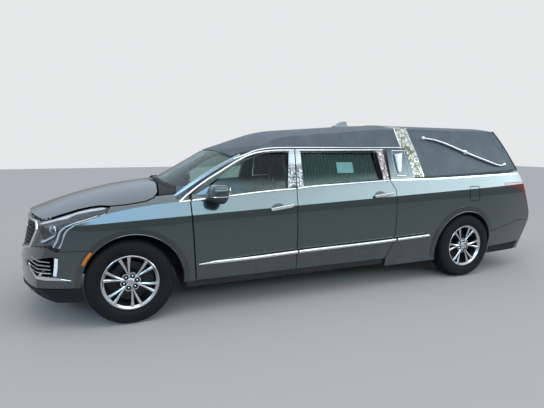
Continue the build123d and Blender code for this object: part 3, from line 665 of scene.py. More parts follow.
def relief_metal(name, raised, sunk, scale, fade=None):
    """Metal with a leafy relief: the raised leaves end at the edges of bent cells and at curled lines,
    where bent noise is near its middle value, and the ground between is darker. Between the two heights
    of fade, when given, the pattern fades out upwards."""
    mat, tree, shader, place = new_material(name, raised, metallic=0.75)
    bend = add_node(tree, "ShaderNodeTexNoise", {"Vector": place, "Scale": scale * 0.35, "Detail": 1.0})
    bent = add_node(tree, "ShaderNodeMix", {0: 0.09, 4: place, 5: bend.outputs["Color"]}, data_type="VECTOR")
    bent = bent.outputs[1]
    curl = value_math(tree, "SUBTRACT", noise(tree, bent, scale * 2.2, 1.0), 0.5)
    leaf = value_math(tree, "MULTIPLY", spread(tree, cell_edges(tree, bent, scale), 0.02, 0.12),
                      spread(tree, value_math(tree, "ABSOLUTE", curl), 0.0, 0.07))
    if fade:
        leaf = value_math(tree, "MAXIMUM", leaf, spread(tree, height_of(tree, place), *fade))
    set_sockets(tree, shader, {"Base Color": blend_colour(tree, leaf, sunk, raised),
                               "Roughness": spread(tree, leaf, 0.0, 1.0, 0.55, 0.24),
                               "Normal": bump(tree, leaf, 0.8, 0.0012)})
    return mat


def machined(name, colour, dark, rough):
    """Lathe-turned alloy: fine rings by the radius held in the piece's own attribute."""
    mat, tree, shader, _ = new_material(name, colour, metallic=1.0)
    radius = add_node(tree, "ShaderNodeAttribute", attribute_name="radius").outputs["Fac"]
    sockets = {"W": value_math(tree, "MULTIPLY", radius, 900.0), "Scale": 1.0}
    ring = add_node(tree, "ShaderNodeTexNoise", sockets, noise_dimensions="1D").outputs["Fac"]
    shade = blend_colour(tree, spread(tree, ring, 0.3, 0.7), colour, dark)
    dusty = use(tree, DUST, Height=0.9, Amount=0.25, Colour=shade)
    set_sockets(tree, shader, {"Base Color": dusty["Colour"],
                               "Roughness": spread(tree, ring, 0.3, 0.7, rough, rough + 0.1)})
    return mat


def wood(name, colour, dark):
    """Varnished boards: stretched wave rings times a fine noise, under a clear coat."""
    mat, tree, shader, place = new_material(name, colour, roughness=0.4, coat_weight=0.6,
                                            coat_roughness=0.08)
    drawn = stretched(tree, place, (1.2, 14.0, 14.0))
    sockets = {"Vector": drawn, "Scale": 1.1, "Distortion": 5.0, "Detail": 3.0}
    rings = add_node(tree, "ShaderNodeTexWave", sockets, bands_direction="Y").outputs["Fac"]
    amount = value_math(tree, "MULTIPLY", rings, noise(tree, drawn, 9.0, 4.0))
    set_sockets(tree, shader, {"Base Color": blend_colour(tree, amount, dark, colour)})
    return mat


def fluted(name, colour, deep, scale, axis="X", **values):
    """Lamp plastic with moulded flutes along one axis."""
    mat, tree, shader, place = new_material(name, colour, **values)
    flutes = add_node(tree, "ShaderNodeTexWave", {"Vector": place, "Scale": scale}, bands_direction=axis,
                      wave_profile="SIN").outputs["Fac"]
    set_sockets(tree, shader, {"Base Color": blend_colour(tree, flutes, colour, deep),
                               "Normal": bump(tree, flutes, 0.25, 0.001)})
    return mat


PAINT = car_paint("grey green paint", (0.036, 0.054, 0.056))
# Body paint made paler for the A-pillar band: painted reflection of the sky.
PILLAR_SKY_REFLECTION = car_paint("pillar paint with painted sky reflection", (0.20, 0.27, 0.30), 0.15)
# Pale paint for the antenna fin: painted reflection.
FIN_PAINTED_REFLECTION = car_paint("fin paint with painted reflection", (0.55, 0.56, 0.57), 0.1)
# Near-black paint for the arch flange bands: partly the flange's own darker colour, partly painted shade of
# the arch lip.
FLANGE_TONE_AND_SHADE = car_paint("flange paint with painted shade", (0.012, 0.020, 0.020), 0.2)
VINYL = leather("roof vinyl", (0.056, 0.070, 0.080), (0.084, 0.102, 0.114), 210.0, 0.38)
CHROME = bright_metal("chrome", (0.86, 0.87, 0.88))
SATIN = brushed_metal("satin metal", (0.58, 0.58, 0.57), (0.44, 0.44, 0.43), 0.26)
BAND = relief_metal("band with leaf relief", (0.80, 0.78, 0.68), (0.15, 0.145, 0.085), 18.0)
PLATE = relief_metal("etched plate", (0.56, 0.56, 0.55), (0.055, 0.055, 0.05), 26.0, (1.36, 1.42))
ROSE = relief_metal("rosy etched plate", (0.58, 0.48, 0.45), (0.075, 0.045, 0.038), 28.0)
GLASS = clear("side glass", (0.61, 0.77, 0.72), (0.57, 0.73, 0.68))
LENS = clear("lamp lens", (0.93, 0.95, 0.96), (0.88, 0.91, 0.93))
BLACK = moulded("black plastic", (0.018, 0.019, 0.021))
# Gloss black plastic; also the flat sheets of painted shade in the door handle cups.
GLOSS_BLACK_AND_SHADE = moulded("gloss black and painted shade", (0.008, 0.008, 0.009), 0.12, 0.1, 900.0, 0.02)
# Black valance plastic; also the dark strips behind the rear wheels, which are painted shade.
VALANCE_AND_SHADE = moulded("valance plastic and painted shade", (0.006, 0.007, 0.009), 0.6, 0.06, specular_ior_level=0.25)
BEZEL = brushed_metal("lamp tray metal", (0.17, 0.18, 0.19), (0.09, 0.095, 0.10), 0.30)
POLISHED = bright_metal("polished bar", (0.95, 0.955, 0.96), 0.20, (0.88, 0.88, 0.87))
TYRE = moulded("tyre", (0.0035, 0.0035, 0.0033), 0.72, 0.02, 800.0, 0.25, specular_ior_level=0.28)
ALLOY = machined("machined alloy", (0.74, 0.74, 0.75), (0.60, 0.60, 0.61), 0.20)
IRON = machined("brake iron", (0.075, 0.070, 0.066), (0.045, 0.042, 0.040), 0.42)
POCKET = moulded("wheel pocket", (0.016, 0.016, 0.017), 0.4, 0.1, 700.0, 0.05, metallic=0.4)
CORE = brushed_metal("radiator core", (0.085, 0.085, 0.088), (0.020, 0.020, 0.022), 0.5,
                     (400.0, 4.0, 400.0), 0.6)
STEEL = brushed_metal("steel", (0.22, 0.22, 0.22), (0.12, 0.11, 0.10), 0.45, (60.0, 60.0, 60.0), 0.8)
AMBER = fluted("amber lens", (0.75, 0.20, 0.01), (0.50, 0.11, 0.006), 90.0, roughness=0.12)
TAIL = fluted("tail lamp", (0.22, 0.004, 0.012), (0.10, 0.002, 0.006), 60.0, "Z", roughness=0.08,
              coat_weight=1.0)
GLOW = fluted("lit white lamp", (0.90, 0.93, 0.95), (0.74, 0.78, 0.82), 70.0, roughness=0.15)
SEAT = leather("seat leather", (0.050, 0.046, 0.042), (0.075, 0.070, 0.064))
TRIM = leather("door trim", (0.035, 0.036, 0.037), (0.055, 0.056, 0.057), 340.0, 0.55)
LINING = cloth("head lining", (0.32, 0.31, 0.28), (0.38, 0.37, 0.34), 700.0)
CURTAIN = cloth("curtain", (0.008, 0.046, 0.032), (0.022, 0.098, 0.070))
DECK = wood("deck boards", (0.30, 0.14, 0.055), (0.085, 0.035, 0.014))
PAPER = cloth("blank sheet", (0.58, 0.74, 0.80), (0.64, 0.80, 0.86), 900.0, 0.0)
LINER = moulded("wheel well liner", (0.008, 0.008, 0.009), 0.7, 0.08)
SHEET_METAL = bright_metal("blank plaque", (0.46, 0.455, 0.49), 0.30, (0.36, 0.35, 0.40))

FINISH = {"paint": PAINT, "vinyl": VINYL, "chrome": CHROME, "band": BAND, "lamp": LENS, "tail_lamp": TAIL,
          "valance": VALANCE_AND_SHADE, "grille": GLOSS_BLACK_AND_SHADE, "glass": GLASS, "tyre": TYRE, "alloy": ALLOY,
          "chassis": BLACK, "engine": STEEL, "steel": STEEL, "trim": TRIM, "seat": SEAT, "curtain": CURTAIN,
          "deck": DECK}
SLOT_OF = {part["node"]: part["material_slot"] for part in frame["record"]["subparts"]}
# The antenna fin takes the pale paint, a painted reflection.
OWN_FINISH = {"antenna_fin": FIN_PAINTED_REFLECTION, "wheel_liners": LINER, "rear_liners": LINER, "bulkhead": LINER}
for name, node in frame["nodes"].items():
    node.data.materials.clear()
    node.data.materials.append(OWN_FINISH.get(name, FINISH[SLOT_OF[name]]))


# Wheels

TREAD = [(0.233, 0.088), (0.247, 0.096), (0.252, 0.1045), (0.262, 0.1085), (0.285, 0.1145), (0.287, 0.1160),
         (0.291, 0.1160), (0.293, 0.1155), (0.312, 0.1172), (0.334, 0.1172), (0.336, 0.1160),
         (0.342, 0.1155), (0.352, 0.1135), (0.356, 0.1120), (0.364, 0.1065), (0.371, 0.0985),
         (0.3755, 0.0880), (0.3785, 0.0750), (0.3790, 0.0700), (0.3715, 0.0690), (0.3715, 0.0620),
         (0.3795, 0.0610), (0.3805, 0.0420), (0.3808, 0.0240), (0.3730, 0.0230), (0.3730, 0.0150),
         (0.3810, 0.0140), (0.3810, 0.0000)]
RIM_LIP = [(0.2455, 0.0975), (0.2450, 0.1090), (0.2415, 0.1115), (0.2360, 0.1105), (0.2310, 0.1040),
           (0.2240, 0.0950), (0.2190, 0.0900), (0.2185, 0.0840), (0.2330, 0.0860)]
BARREL = [(0.2330, 0.0890), (0.2250, 0.0880), (0.2160, 0.0500), (0.2130, 0.0000), (0.2150, -0.0900),
          (0.2430, -0.1060), (0.2450, -0.0960), (0.2260, -0.0850), (0.2230, 0.0000), (0.2260, 0.0500)]
BRAKE_DISC = [(0.164, -0.031), (0.165, -0.033), (0.165, -0.050), (0.164, -0.052), (0.080, -0.052),
              (0.076, -0.020), (0.072, 0.012), (0.030, 0.012), (0.030, 0.018), (0.082, 0.018),
              (0.088, -0.020), (0.092, -0.031)]
SPOKE_SECTION = np.array([(-1, -0.034), (-1, -0.003), (-0.86, 0.0), (-0.30, 0.0038), (0.86, -0.0010),
                          (1, -0.0045), (1, -0.034)])
NUT = np.array([(0.0098, 0.062), (0.0098, 0.0735), (0.0086, 0.0775), (0.0055, 0.0800), (0.0002, 0.0808)])
SPOKE_PHASE = {"front_left": -19, "rear_left": 0, "front_right": 17, "rear_right": 34}
SPOKE_PAIRS = 6
NUT_CIRCLE = 0.057
GROOVES = 72


def wheel_points(x, side, radius, angle, outward):
    """Points round a wheel's axle: angle from the rear towards the top, seen from the car's left."""
    return np.stack([x + radius * np.cos(angle), side * (HALF_TRACK + outward) + 0 * angle,
                     TYRE_R + radius * np.sin(angle)], -1)


def nut_angles(phase):
    """Middle of each gap between two pairs of spokes."""
    return np.deg2rad(np.arange(SPOKE_PAIRS) * 60 + 30 + phase)


def axle_radius(points, x):
    """Distance of each point from the wheel's axle line, sqrt((X - x)^2 + (Z - R)^2)."""
    return np.hypot(points[..., 0] - x, points[..., 2] - TYRE_R).reshape(-1)


def make_tyre(name, x, side):
    """Tyre: a profile turned about the axle, with cross grooves cut into the shoulder and ribs.
    The groove depth is a square wave of the angle, swept back towards the tyre's middle."""
    half = np.array(TREAD)
    profile = np.concatenate([half, half[-2::-1] * (1, -1)])
    turns, around = 432, len(profile)
    angle = full_turn(turns)[:, None] + np.zeros(around)
    radius, out = profile[:, 0] + 0 * angle, profile[:, 1] + 0 * angle
    shoulder = (np.abs(out) > 0.062) & (radius > 0.350)
    rib = (radius > 0.3788) & ~shoulder
    wave = (angle * GROOVES / (2 * np.pi) + np.abs(out) * 22) % 1.0
    cut = np.where(shoulder, np.where(wave < 0.17, 0.0045, 0), np.where(rib & (wave < 0.15), 0.004, 0))
    beads = np.stack([np.arange(turns) * around, np.arange(turns) * around + around - 1], 1).reshape(-1)
    inside = beads[grid_faces(turns, 2, wrap_rows=True)][:, ::-1]
    faces = np.concatenate([grid_faces(turns, around, wrap_rows=True), inside])
    made = add_piece(name + "_rubber", wheel_points(x, side, radius - cut, angle, out),
                     facing(faces, side == RIGHT), TYRE, name.replace("tyre", "wheel"), 35)
    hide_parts(name)


def turned(name, x, side, profile, finish, body):
    """Closed profile of radius and outward distance, turned about the axle."""
    radius, out = np.transpose(profile)
    angle = full_turn(96)[:, None] + 0 * radius
    faces = facing(grid_faces(96, len(profile), wrap_rows=True, wrap_columns=True), side == RIGHT)
    return add_piece(name, wheel_points(x, side, radius, angle, out), faces, finish, body,
                     radius=(radius + 0 * angle).reshape(-1))


def make_spokes(name, x, side, phase, body):
    """Twelve spokes in six pairs. Each starts 4 degrees off its pair's middle at the hub and ends 10.5
    degrees off at the rim, widens from 14 to 32 mm and has a ridge one third of the way across."""
    s = np.linspace(0, 1, 14)[:, None]
    middle = np.deg2rad(4.2 + 6.3 * s ** 0.9)
    radius = 0.060 + 0.174 * s
    half = 0.0070 + 0.0090 * s ** 1.3
    depth = 0.080 + 0.018 * s ** 1.6 + SPOKE_SECTION[:, 1] * (1 - 0.25 * s)
    around = len(SPOKE_SECTION)
    one = tube_faces(len(s), around)
    dark = [not (1 <= f[0] % around <= 4 and len(f) == 4 and f[1] % around <= 5) for f in one]
    points, faces = [], []
    for k in range(SPOKE_PAIRS):
        for hand in (-1, 1):
            turn = math.radians(60 * k + phase) + hand * middle
            across = SPOKE_SECTION[:, 0] * half * hand
            px = radius * np.cos(turn) - across * np.sin(turn)
            pz = radius * np.sin(turn) + across * np.cos(turn)
            start = len(points) * depth.size
            points.append(np.stack([x + px, side * (HALF_TRACK + depth), TYRE_R + pz], -1).reshape(-1, 3))
            faces += [tuple(v + start for v in f) for f in facing(one, (side == LEFT) == (hand == 1))]
    points = np.concatenate(points)
    return add_piece(name, points, faces, [ALLOY, POCKET], body, 30, dark * 2 * SPOKE_PAIRS,
                     axle_radius(points, x))


def make_hub(name, x, side, phase, body):
    """Hub face on a polar grid. Its edge swells towards the six nut shoulders, and its depth drops by
    17 mm in a round pocket at each nut and by 2 mm in a groove round the cap."""
    turns, rings = 216, 41
    a = full_turn(turns)[:, None]
    s = np.linspace(0, 1, rings - 1)[None, :]
    swell = 0.081 + 0.008 * np.cos(6 * (a - math.radians(phase + 30)))
    radius = s * swell
    depth = 0.0815 - 0.004 * s ** 2 + 0 * a
    depth = depth + 0.0045 * np.clip((0.031 - radius) / 0.004, 0, 1) * (1 - (radius / 0.05) ** 2)
    depth = depth - 0.002 * np.exp(-((radius - 0.033) / 0.0014) ** 2)
    px, pz = radius * np.cos(a), radius * np.sin(a)
    for t in nut_angles(phase):
        near = np.hypot(px - NUT_CIRCLE * math.cos(t), pz - NUT_CIRCLE * math.sin(t))
        depth = depth - 0.017 * np.clip((0.0218 - near) / 0.0016, 0, 1)
    points = wheel_points(x, side, np.concatenate([radius, swell + 0.003], 1), a + np.zeros(rings),
                          np.concatenate([depth, np.full((turns, 1), 0.045)], 1))
    marks = np.concatenate([depth[:, :-1] < 0.070, np.ones((turns, 1), bool)], 1).reshape(-1)
    back = np.arange(turns) * rings + rings - 1
    faces = [tuple(f) for f in facing(grid_faces(turns, rings, wrap_rows=True), side == RIGHT)]
    faces.append(tuple(back if side == LEFT else back[::-1]))
    return add_piece(name, points, faces, [ALLOY, POCKET], body, 30, np.append(marks, True),
                     axle_radius(points, x))


def make_nuts(name, x, side, phase, body):
    """Six domed hexagon nuts: a radius that ripples six times a turn, closing towards the dome's top."""
    a = full_turn(24)
    radius = NUT[:, :1] * math.cos(math.pi / 6) / np.cos((a % (math.pi / 3)) - math.pi / 6)
    parts = []
    for t in nut_angles(phase):
        centre = (NUT_CIRCLE * math.cos(t), 0, NUT_CIRCLE * math.sin(t))
        parts.append((wheel_points(x, side, radius, a + 0 * radius, NUT[:, 1:]) + centre,
                      facing(tube_faces(len(NUT), len(a)), side == LEFT)))
    return join_parts(name, parts, CHROME, body)


def make_wheel(where, x, side):
    """Machined lip, dark barrel, brake disc, spokes, hub and nuts."""
    name, phase = "wheel_" + where, SPOKE_PHASE[where]
    lip = turned(name + "_lip", x, side, RIM_LIP, ALLOY, name)
    turned(name + "_barrel", x, side, BARREL, POCKET, name)
    turned(name + "_disc", x, side, BRAKE_DISC, IRON, name)
    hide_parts(name)
    make_spokes(name + "_spokes", x, side, phase, name)
    make_hub(name + "_hub", x, side, phase, name)
    make_nuts(name + "_nuts", x, side, phase, name)


for side, word in SIDES.items():
    for end, x in (("front", 0.0), ("rear", WHEELBASE)):
        make_tyre(f"tyre_{end}_{word}", x, side)
        make_wheel(f"{end}_{word}", x, side)


# Trim on the sides

ROUND_TRIM = [(-1, -0.003), (-1, 0.002), (-0.75, 0.0055), (-0.3, 0.0075), (0.3, 0.0075), (0.75, 0.0055),
              (1, 0.002), (1, -0.003)]
HALF_ROUND = [(-1, -0.001), (-0.92, 0.0045), (-0.6, 0.0095), (0, 0.0115), (0.6, 0.0095), (0.92, 0.0045),
              (1, -0.001)]
STEPPED = [(-1, -0.002), (-1, 0.0022), (-0.8, 0.0036), (-0.3, 0.0036), (-0.2, 0.0024), (0.3, 0.0024),
           (0.4, 0.0036), (0.8, 0.0036), (1, 0.0022), (1, -0.002)]
THIN = [(-1, -0.002), (-1, 0.0005), (1, 0.0005), (1, -0.002)]
BAND_SECTION = [(-1, -0.002), (-1, 0.003), (-0.6, 0.0045), (0.6, 0.0045), (1, 0.003), (1, -0.002)]
SILL_TRIM = [(0.593, 0.487), (1.579, 0.522), (2.585, 0.543), (3.248, 0.563)]
DIAGONAL = [(0.448, 1.074), (0.500, 1.117), (0.557, 1.159), (0.713, 1.261), (0.873, 1.350), (1.039, 1.441),
            (1.099, 1.469), (1.208, 1.505), (1.300, 1.522)]
WINDOW_TOP = [(1.304, 1.5225), (1.400, 1.5305), (1.464, 1.533), (1.577, 1.534), (2.125, 1.534),
              (2.739, 1.536)]
GUTTER = [(1.060, 1.471), (1.208, 1.523), (1.398, 1.5475), (1.577, 1.5505), (2.125, 1.5505), (2.736, 1.5515)]
BELT_LINE = [(0.450, 1.073), (0.558, 1.082), (0.698, 1.092), (0.927, 1.109), (1.166, 1.129), (1.398, 1.143),
             (1.647, 1.156), (1.689, 1.160), (2.159, 1.182), (2.730, 1.203)]
QUARTER_BELT = [(2.748, 1.206), (3.024, 1.2065), (3.196, 1.2045), (3.426, 1.207), (3.879, 1.217),
                (4.381, 1.229), (4.700, 1.232)]
DRIP_LINE = [(1.000, 1.452), (1.104, 1.486), (1.225, 1.529), (1.398, 1.555), (1.573, 1.5595), (1.725, 1.560),
             (2.300, 1.560), (3.010, 1.560)]
PILLAR_OUTER = [(0.420, 1.128), (0.525, 1.205), (0.732, 1.334), (0.892, 1.419), (1.066, 1.500)]
PILLAR_INNER = [(0.395, 1.078), (0.505, 1.148), (0.714, 1.283), (0.875, 1.374), (1.067, 1.466)]
BAND_EDGES = {"front": [(3.089, 1.214), (3.070, 1.295), (3.018, 1.475), (2.987, 1.646), (2.979, 1.785)],
              "rear": [(3.234, 1.214), (3.211, 1.348), (3.184, 1.508), (3.152, 1.670), (3.140, 1.788)]}
REAR_SEAM = [(4.578, 1.765), (4.651, 1.632), (4.719, 1.489), (4.783, 1.353), (4.848, 1.236)]
PLATES = {"post_plate_front": [(1.516, 1.162), (1.608, 1.166), (1.631, 1.525), (1.572, 1.525)],
          "post_plate_rear": [(1.618, 1.167), (1.690, 1.169), (1.698, 1.526), (1.645, 1.526)],
          "rear_plate": [(2.655, 1.209), (2.727, 1.212), (2.698, 1.528), (2.612, 1.528)]}
OPERA_PANEL = [(2.750, 1.212), (3.076, 1.214), (3.000, 1.553), (2.748, 1.553)]
OPERA_FRAME = [(2.804, 1.219), (3.007, 1.221), (2.988, 1.533), (2.811, 1.533)]
LANDAU_BAR = [(3.343, 1.668, 0.0185), (3.430, 1.659, 0.0200), (3.520, 1.643, 0.0200), (3.670, 1.598, 0.0200),
              (3.806, 1.547, 0.0200), (3.932, 1.501, 0.0195), (4.094, 1.446, 0.0195), (4.267, 1.392, 0.0195),
              (4.409, 1.350, 0.0190), (4.496, 1.335, 0.0185), (4.586, 1.347, 0.0180)]
# X and z of each handle, the skin's distance from the middle plane there, and its lean in degrees
HANDLES = {"front": (1.428, 0.980, 0.938, 7), "rear": (2.619, 1.052, 0.929, 5)}
LANDAU_BALLS = ((3.343, 1.668, 0.0245), (3.932, 1.501, 0.031), (4.586, 1.347, 0.022))
TRIM_HALF = 0.0085
SILL_HALF = 0.0135
FRAME_WIDTH = 0.011
FRAME_LIFT = 0.0075


def make_opera_frame(word, side):
    """Raised frame round a quadrilateral: a strip along each side, mitred by sharing corner points, with
    the inner corners drawn in towards the middle. Its section is a low arch of five heights."""
    c = np.asarray(OPERA_FRAME, float)
    inward = c.mean(0) - c
    inner = c + inward / np.linalg.norm(inward, axis=1)[:, None] * FRAME_WIDTH * 1.35
    high = FRAME_LIFT * np.array([0.35, 0.9, 1.0, 0.9, 0.35])[:, None]
    parts = []
    for k in range(4):
        n = (k + 1) % 4
        x, z = quad([c[k], c[n], inner[n], inner[k]], 5, 26)
        points, faces = closed_shell(on_skin(x, z, high, side), on_skin(x, z, -0.002, side))
        parts.append((points, facing(faces, side == LEFT)))
    join_parts(f"opera_frame_{word}", parts, SATIN)


def make_sill_trims(word, side, doors):
    """Bright strip low on the doors, tapering to a point at both of its ends."""
    taper = {"front": lambda x: ((x - 0.603 + 0.02) / 0.16, 0.6), "rear": lambda x: (1 + 0 * x, 1),
             "quarter": lambda x: ((3.248 + 0.004 - x) / 0.02, 0.5)}
    for part, x0, x1 in (("front", 0.603, 1.590), ("rear", 1.606, 2.782), ("quarter", 2.806, 3.248)):
        line = line_part(SILL_TRIM, x0, x1, 60)
        share, power = taper[part](line[:, 0])
        moulding(f"sill_trim_{part}_{word}", line, SILL_HALF * np.clip(share, 0.1, 1) ** power, ROUND_TRIM,
                 side, doors.get(part, "body"))


def make_window_trims(word, side, doors):
    """Bright lines round the glass, the black gutter over them, the drip rail and the pillar band, pale with
    painted sky reflection.
    """
    moulding(f"pillar_trim_{word}", through(DIAGONAL, 90), TRIM_HALF, ROUND_TRIM, side)
    for part, x0, x1, count in (("foot", 0.452, 0.546, 14), ("front", 0.566, 1.603, 90),
                                ("rear", 1.621, 2.728, 90)):
        line = line_part(BELT_LINE, x0, x1, count)
        moulding(f"belt_trim_{part}_{word}", line, TRIM_HALF, ROUND_TRIM, side, doors.get(part, "body"))
    moulding(f"belt_trim_quarter_{word}", through(QUARTER_BELT, 80), TRIM_HALF, STEPPED, side)
    for part, x0, x1 in (("front", 1.304, 1.630), ("rear", 1.646, 2.696)):
        moulding(f"window_top_{part}_{word}", line_part(WINDOW_TOP, x0, x1, 50), 0.0075, ROUND_TRIM, side,
                 doors[part])
    moulding(f"gutter_{word}", through(GUTTER, 80), 0.0050, THIN, side, "body", GLOSS_BLACK_AND_SHADE, green_y)
    moulding(f"drip_rail_{word}", through(DRIP_LINE, 120), 0.0062, ROUND_TRIM, side, surface=green_y)
    # The A-pillar band takes the paler paint, a painted sky reflection.
    pillar = between(through(PILLAR_INNER, 60), through(PILLAR_OUTER, 60), 8)
    panel(f"pillar_band_{word}", pillar, 0.0008 + 0.0035 * pillow(8, 60, 0.2, 0.02), 0.004, PILLAR_SKY_REFLECTION,
          side, surface=green_y)


def make_plates(word, side, doors):
    """Etched plates on the door posts: two meet at the middle post, one closes the rear window."""
    lift = 0.0012 + 0.0022 * pillow(24, 9, 0.04, 0.12)
    for name, corners in PLATES.items():
        finish = ROSE if name == "rear_plate" else PLATE
        door = doors["front" if name == "post_plate_front" else "rear"]
        panel(f"{name}_{word}", quad(corners, 24, 9), lift, 0.004, finish, side, door)


def make_opera_panel(word, side):
    """Painted panel behind the doors with a raised frame, a rounded plaque and a bright strip. The plaque
    widens upwards, and it swells by the root of one less the square of the distance across."""
    panel(f"opera_panel_{word}", quad(OPERA_PANEL, 26, 22), 0.0015 + 0.001 * pillow(26, 22, 0.03, 0.03),
          0.003, PAINT, side)
    make_opera_frame(word, side)
    u = np.linspace(-1, 1, 22)[None, :]
    v = np.linspace(0, 1, 30)[:, None]
    x = 2.878 + 0.013 * v + (0.025 + 0.039 * v) * u
    z = 1.286 + 0.004 * u + (0.214 + 0.005 * u) * v
    across = np.sqrt(np.maximum(1 - (u * 0.98) ** 2, 0))
    swell = 0.010 + 0.026 * across * (0.25 + 0.75 * np.clip(v / 0.9, 0, 1))
    swell = swell * np.clip(np.minimum(v, 1 - v) / 0.03, 0.3, 1) ** 0.5
    panel(f"opera_plaque_{word}", (x, z), swell, 0.016, SHEET_METAL, side, crease=35)
    strip = through([(2.827, 1.252), (2.953, 1.249)], 12)
    moulding(f"opera_strip_{word}", strip, TRIM_HALF, HALF_ROUND, side)


def make_band(name, edge):
    """Strip that climbs both sides along its line and crosses the roof: the side runs lie on the side
    surface, the crossing on the roof's own, and the two meet in a short bend at the roof's edge."""
    line = through(edge, 60)
    across, lift = np.transpose(BAND_SECTION)
    across = across * TRIM_HALF
    way = unit_ways(line)
    left = on_skin(line[:, :1] + way[:, 1:] * across, line[:, 1:] - way[:, :1] * across, lift, LEFT, green_y)
    end_x = line[-1, 0]
    reach = -float(green_y(end_x, 1.80))
    y = np.linspace(-reach, reach, 61)[:, None] + 0 * across
    x = end_x + across * np.sign(way[-1, 1]) + 0 * y
    bend = 0.022 * np.clip((np.abs(y) - reach + 0.05) / 0.05, 0, 1) ** 2
    rings = np.concatenate([left, np.stack([x, y, roof_z(x, y) - bend + lift], -1), left[::-1] * (1, -1, 1)])
    return add_piece(name, rings, facing(tube_faces(len(rings), len(across)), False), CHROME)


def make_landau(word, side):
    """Landau bar: a rounded bar in a long S on three feet, with a ball at each end and a boss between."""
    path = through(LANDAU_BAR, 130)
    radius = 0.0115 + 0.0085 * np.sin(np.pi * np.clip(np.linspace(0, 1, 130), 0.02, 0.98)) ** 0.7
    points, faces = tube(on_skin(path[:, 0], path[:, 1], path[:, 2], side, green_y), radius, 16, 0.75)
    parts = [(points, facing(faces, side == RIGHT))]
    for x, z, r in LANDAU_BALLS:
        foot = [(0.0005, -0.019), (r * 0.80, -0.019), (r * 0.80, -0.0165), (r * 0.55, -0.014)]
        ball = [(r * math.sin(t), r * math.cos(t)) for t in np.linspace(2.0, 0.15, 14)]
        centre = on_skin(x, z, 0.0135, side, green_y)
        parts.append(revolved(centre, (0, side, 0), foot + ball + [(0.0005, r)], 32))
    made = join_parts(f"landau_bar_{word}", parts, POLISHED, crease=30)
    if side == LEFT:
        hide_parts("landau_bars")


def make_handle_shell(name, x, z, skin, tilt, body, side):
    """Pull handle: a bar with soft corners round the one in the door, over a flat dark sheet of painted
    shade where the scooped cup lies, its upper edge half an ellipse."""
    tilt = math.radians(tilt)
    bar, faces = rounded_box((0, 0, 0), (0.2420, 0.0250, 0.0315), 5, 24, 60, tilt)
    join_parts(name, [(bar + (x, side * (skin + 0.026), z), faces)], CHROME, body, 40)
    # The cup is drawn as a flat gloss black sheet on the door skin: painted shade under the handle.
    v, w = np.meshgrid(np.linspace(0, 1, 12), np.linspace(-0.90, 0.24, 26), indexing="ij")
    along = 0.1185 * w
    arch = np.sqrt(np.maximum(1 - ((w + 0.33) / 0.57) ** 2, 0.02))
    cup_shade = (x + along * math.cos(tilt) - math.sin(tilt) * 0.034 * v,
           z + along * math.sin(tilt) + 0.002 + 0.040 * v * arch)
    panel(name + "_cup", cup_shade, 0.0009, 0.002, GLOSS_BLACK_AND_SHADE, side, body, lower_y)


for side, word in SIDES.items():
    doors = {"front": "door_front_" + word, "rear": "door_rear_" + word}
    make_sill_trims(word, side, doors)
    make_window_trims(word, side, doors)
    make_plates(word, side, doors)
    make_opera_panel(word, side)
    make_landau(word, side)
    for part, place in HANDLES.items():
        make_handle_shell(f"handle_{part}_{word}", *place, doors[part], side)
for part, edge in BAND_EDGES.items():
    make_band(f"band_strip_{part}", edge)
for side, word in SIDES.items():
    seam = through(REAR_SEAM, 40)
    wing = between((seam - (0.120, 0))[::-1], (seam - (0.004, 0))[::-1], 12)
    panel(f"rear_wing_{word}", wing, 0.0012, 0.016, VINYL, side, surface=green_y)
    moulding(f"vinyl_seam_{word}", through(seam[::4], 80), 0.0055, HALF_ROUND, side, "body", VINYL,
             green_y)


# Front of the car

LAMP_EYE = (-0.300, -0.450, 0.800)
LOW_EYE = (-0.300, -0.450, 0.560)
LAMP_SIDE = [(-0.120, 1.100), (-0.140, 1.044), (-0.178, 0.999), (-0.304, 0.957), (-0.411, 0.926),
             (-0.465, 0.889), (-0.503, 0.825), (-0.525, 0.765), (-0.548, 0.706), (-0.586, 0.706),
             (-0.634, 0.742), (-0.730, 0.728), (-0.830, 0.706), (-0.830, 1.100)]
LAMP_INNER = [(0.600, 0.628), (0.700, 0.628), (0.787, 0.661), (0.844, 0.698), (0.938, 0.702), (1.200, 0.702)]
HOOD_EDGE = [(-1.100, 0.962), (-0.840, 0.962), (-0.760, 0.952), (-0.679, 0.940), (-0.600, 0.959),
             (-0.530, 0.980), (-0.398, 1.017), (-0.300, 1.037), (-0.212, 1.048), (-0.140, 1.046)]
OUTER_LIGHT = [(-0.556, -0.893, 0.725), (-0.527, -0.903, 0.775), (-0.494, -0.908, 0.868),
               (-0.440, -0.914, 0.908), (-0.350, -0.915, 0.938), (-0.240, -0.914, 0.975),
               (-0.165, -0.906, 1.012)]
INNER_LIGHT = [(-0.600, -0.876, 0.735), (-0.566, -0.888, 0.800), (-0.541, -0.893, 0.868),
               (-0.500, -0.901, 0.905), (-0.440, -0.908, 0.934), (-0.330, -0.913, 0.966),
               (-0.230, -0.911, 1.000)]
LOW_LIGHT = [(-0.706, -0.762, 0.770), (-0.650, -0.815, 0.790), (-0.590, -0.872, 0.832)]
PROJECTOR = [(0.0005, -0.006), (0.0325, -0.004), (0.032, 0.003), (0.027, 0.0140), (0.016, 0.0225),
             (0.0005, 0.026)]
PROJECTOR_RING = [(0.0355, -0.008), (0.041, 0.006), (0.049, 0.014), (0.0505, 0.010), (0.0425, -0.014),
                  (0.020, -0.016), (0.019, -0.010)]
GRILLE_TOP = [(0, 0.921), (0.560, 0.921), (0.632, 0.915), (0.661, 0.850), (0.668, 0.845)]
GRILLE_LOW = [(0, 0.641), (0.374, 0.660), (0.521, 0.711), (0.594, 0.720), (0.628, 0.788), (0.668, 0.845)]
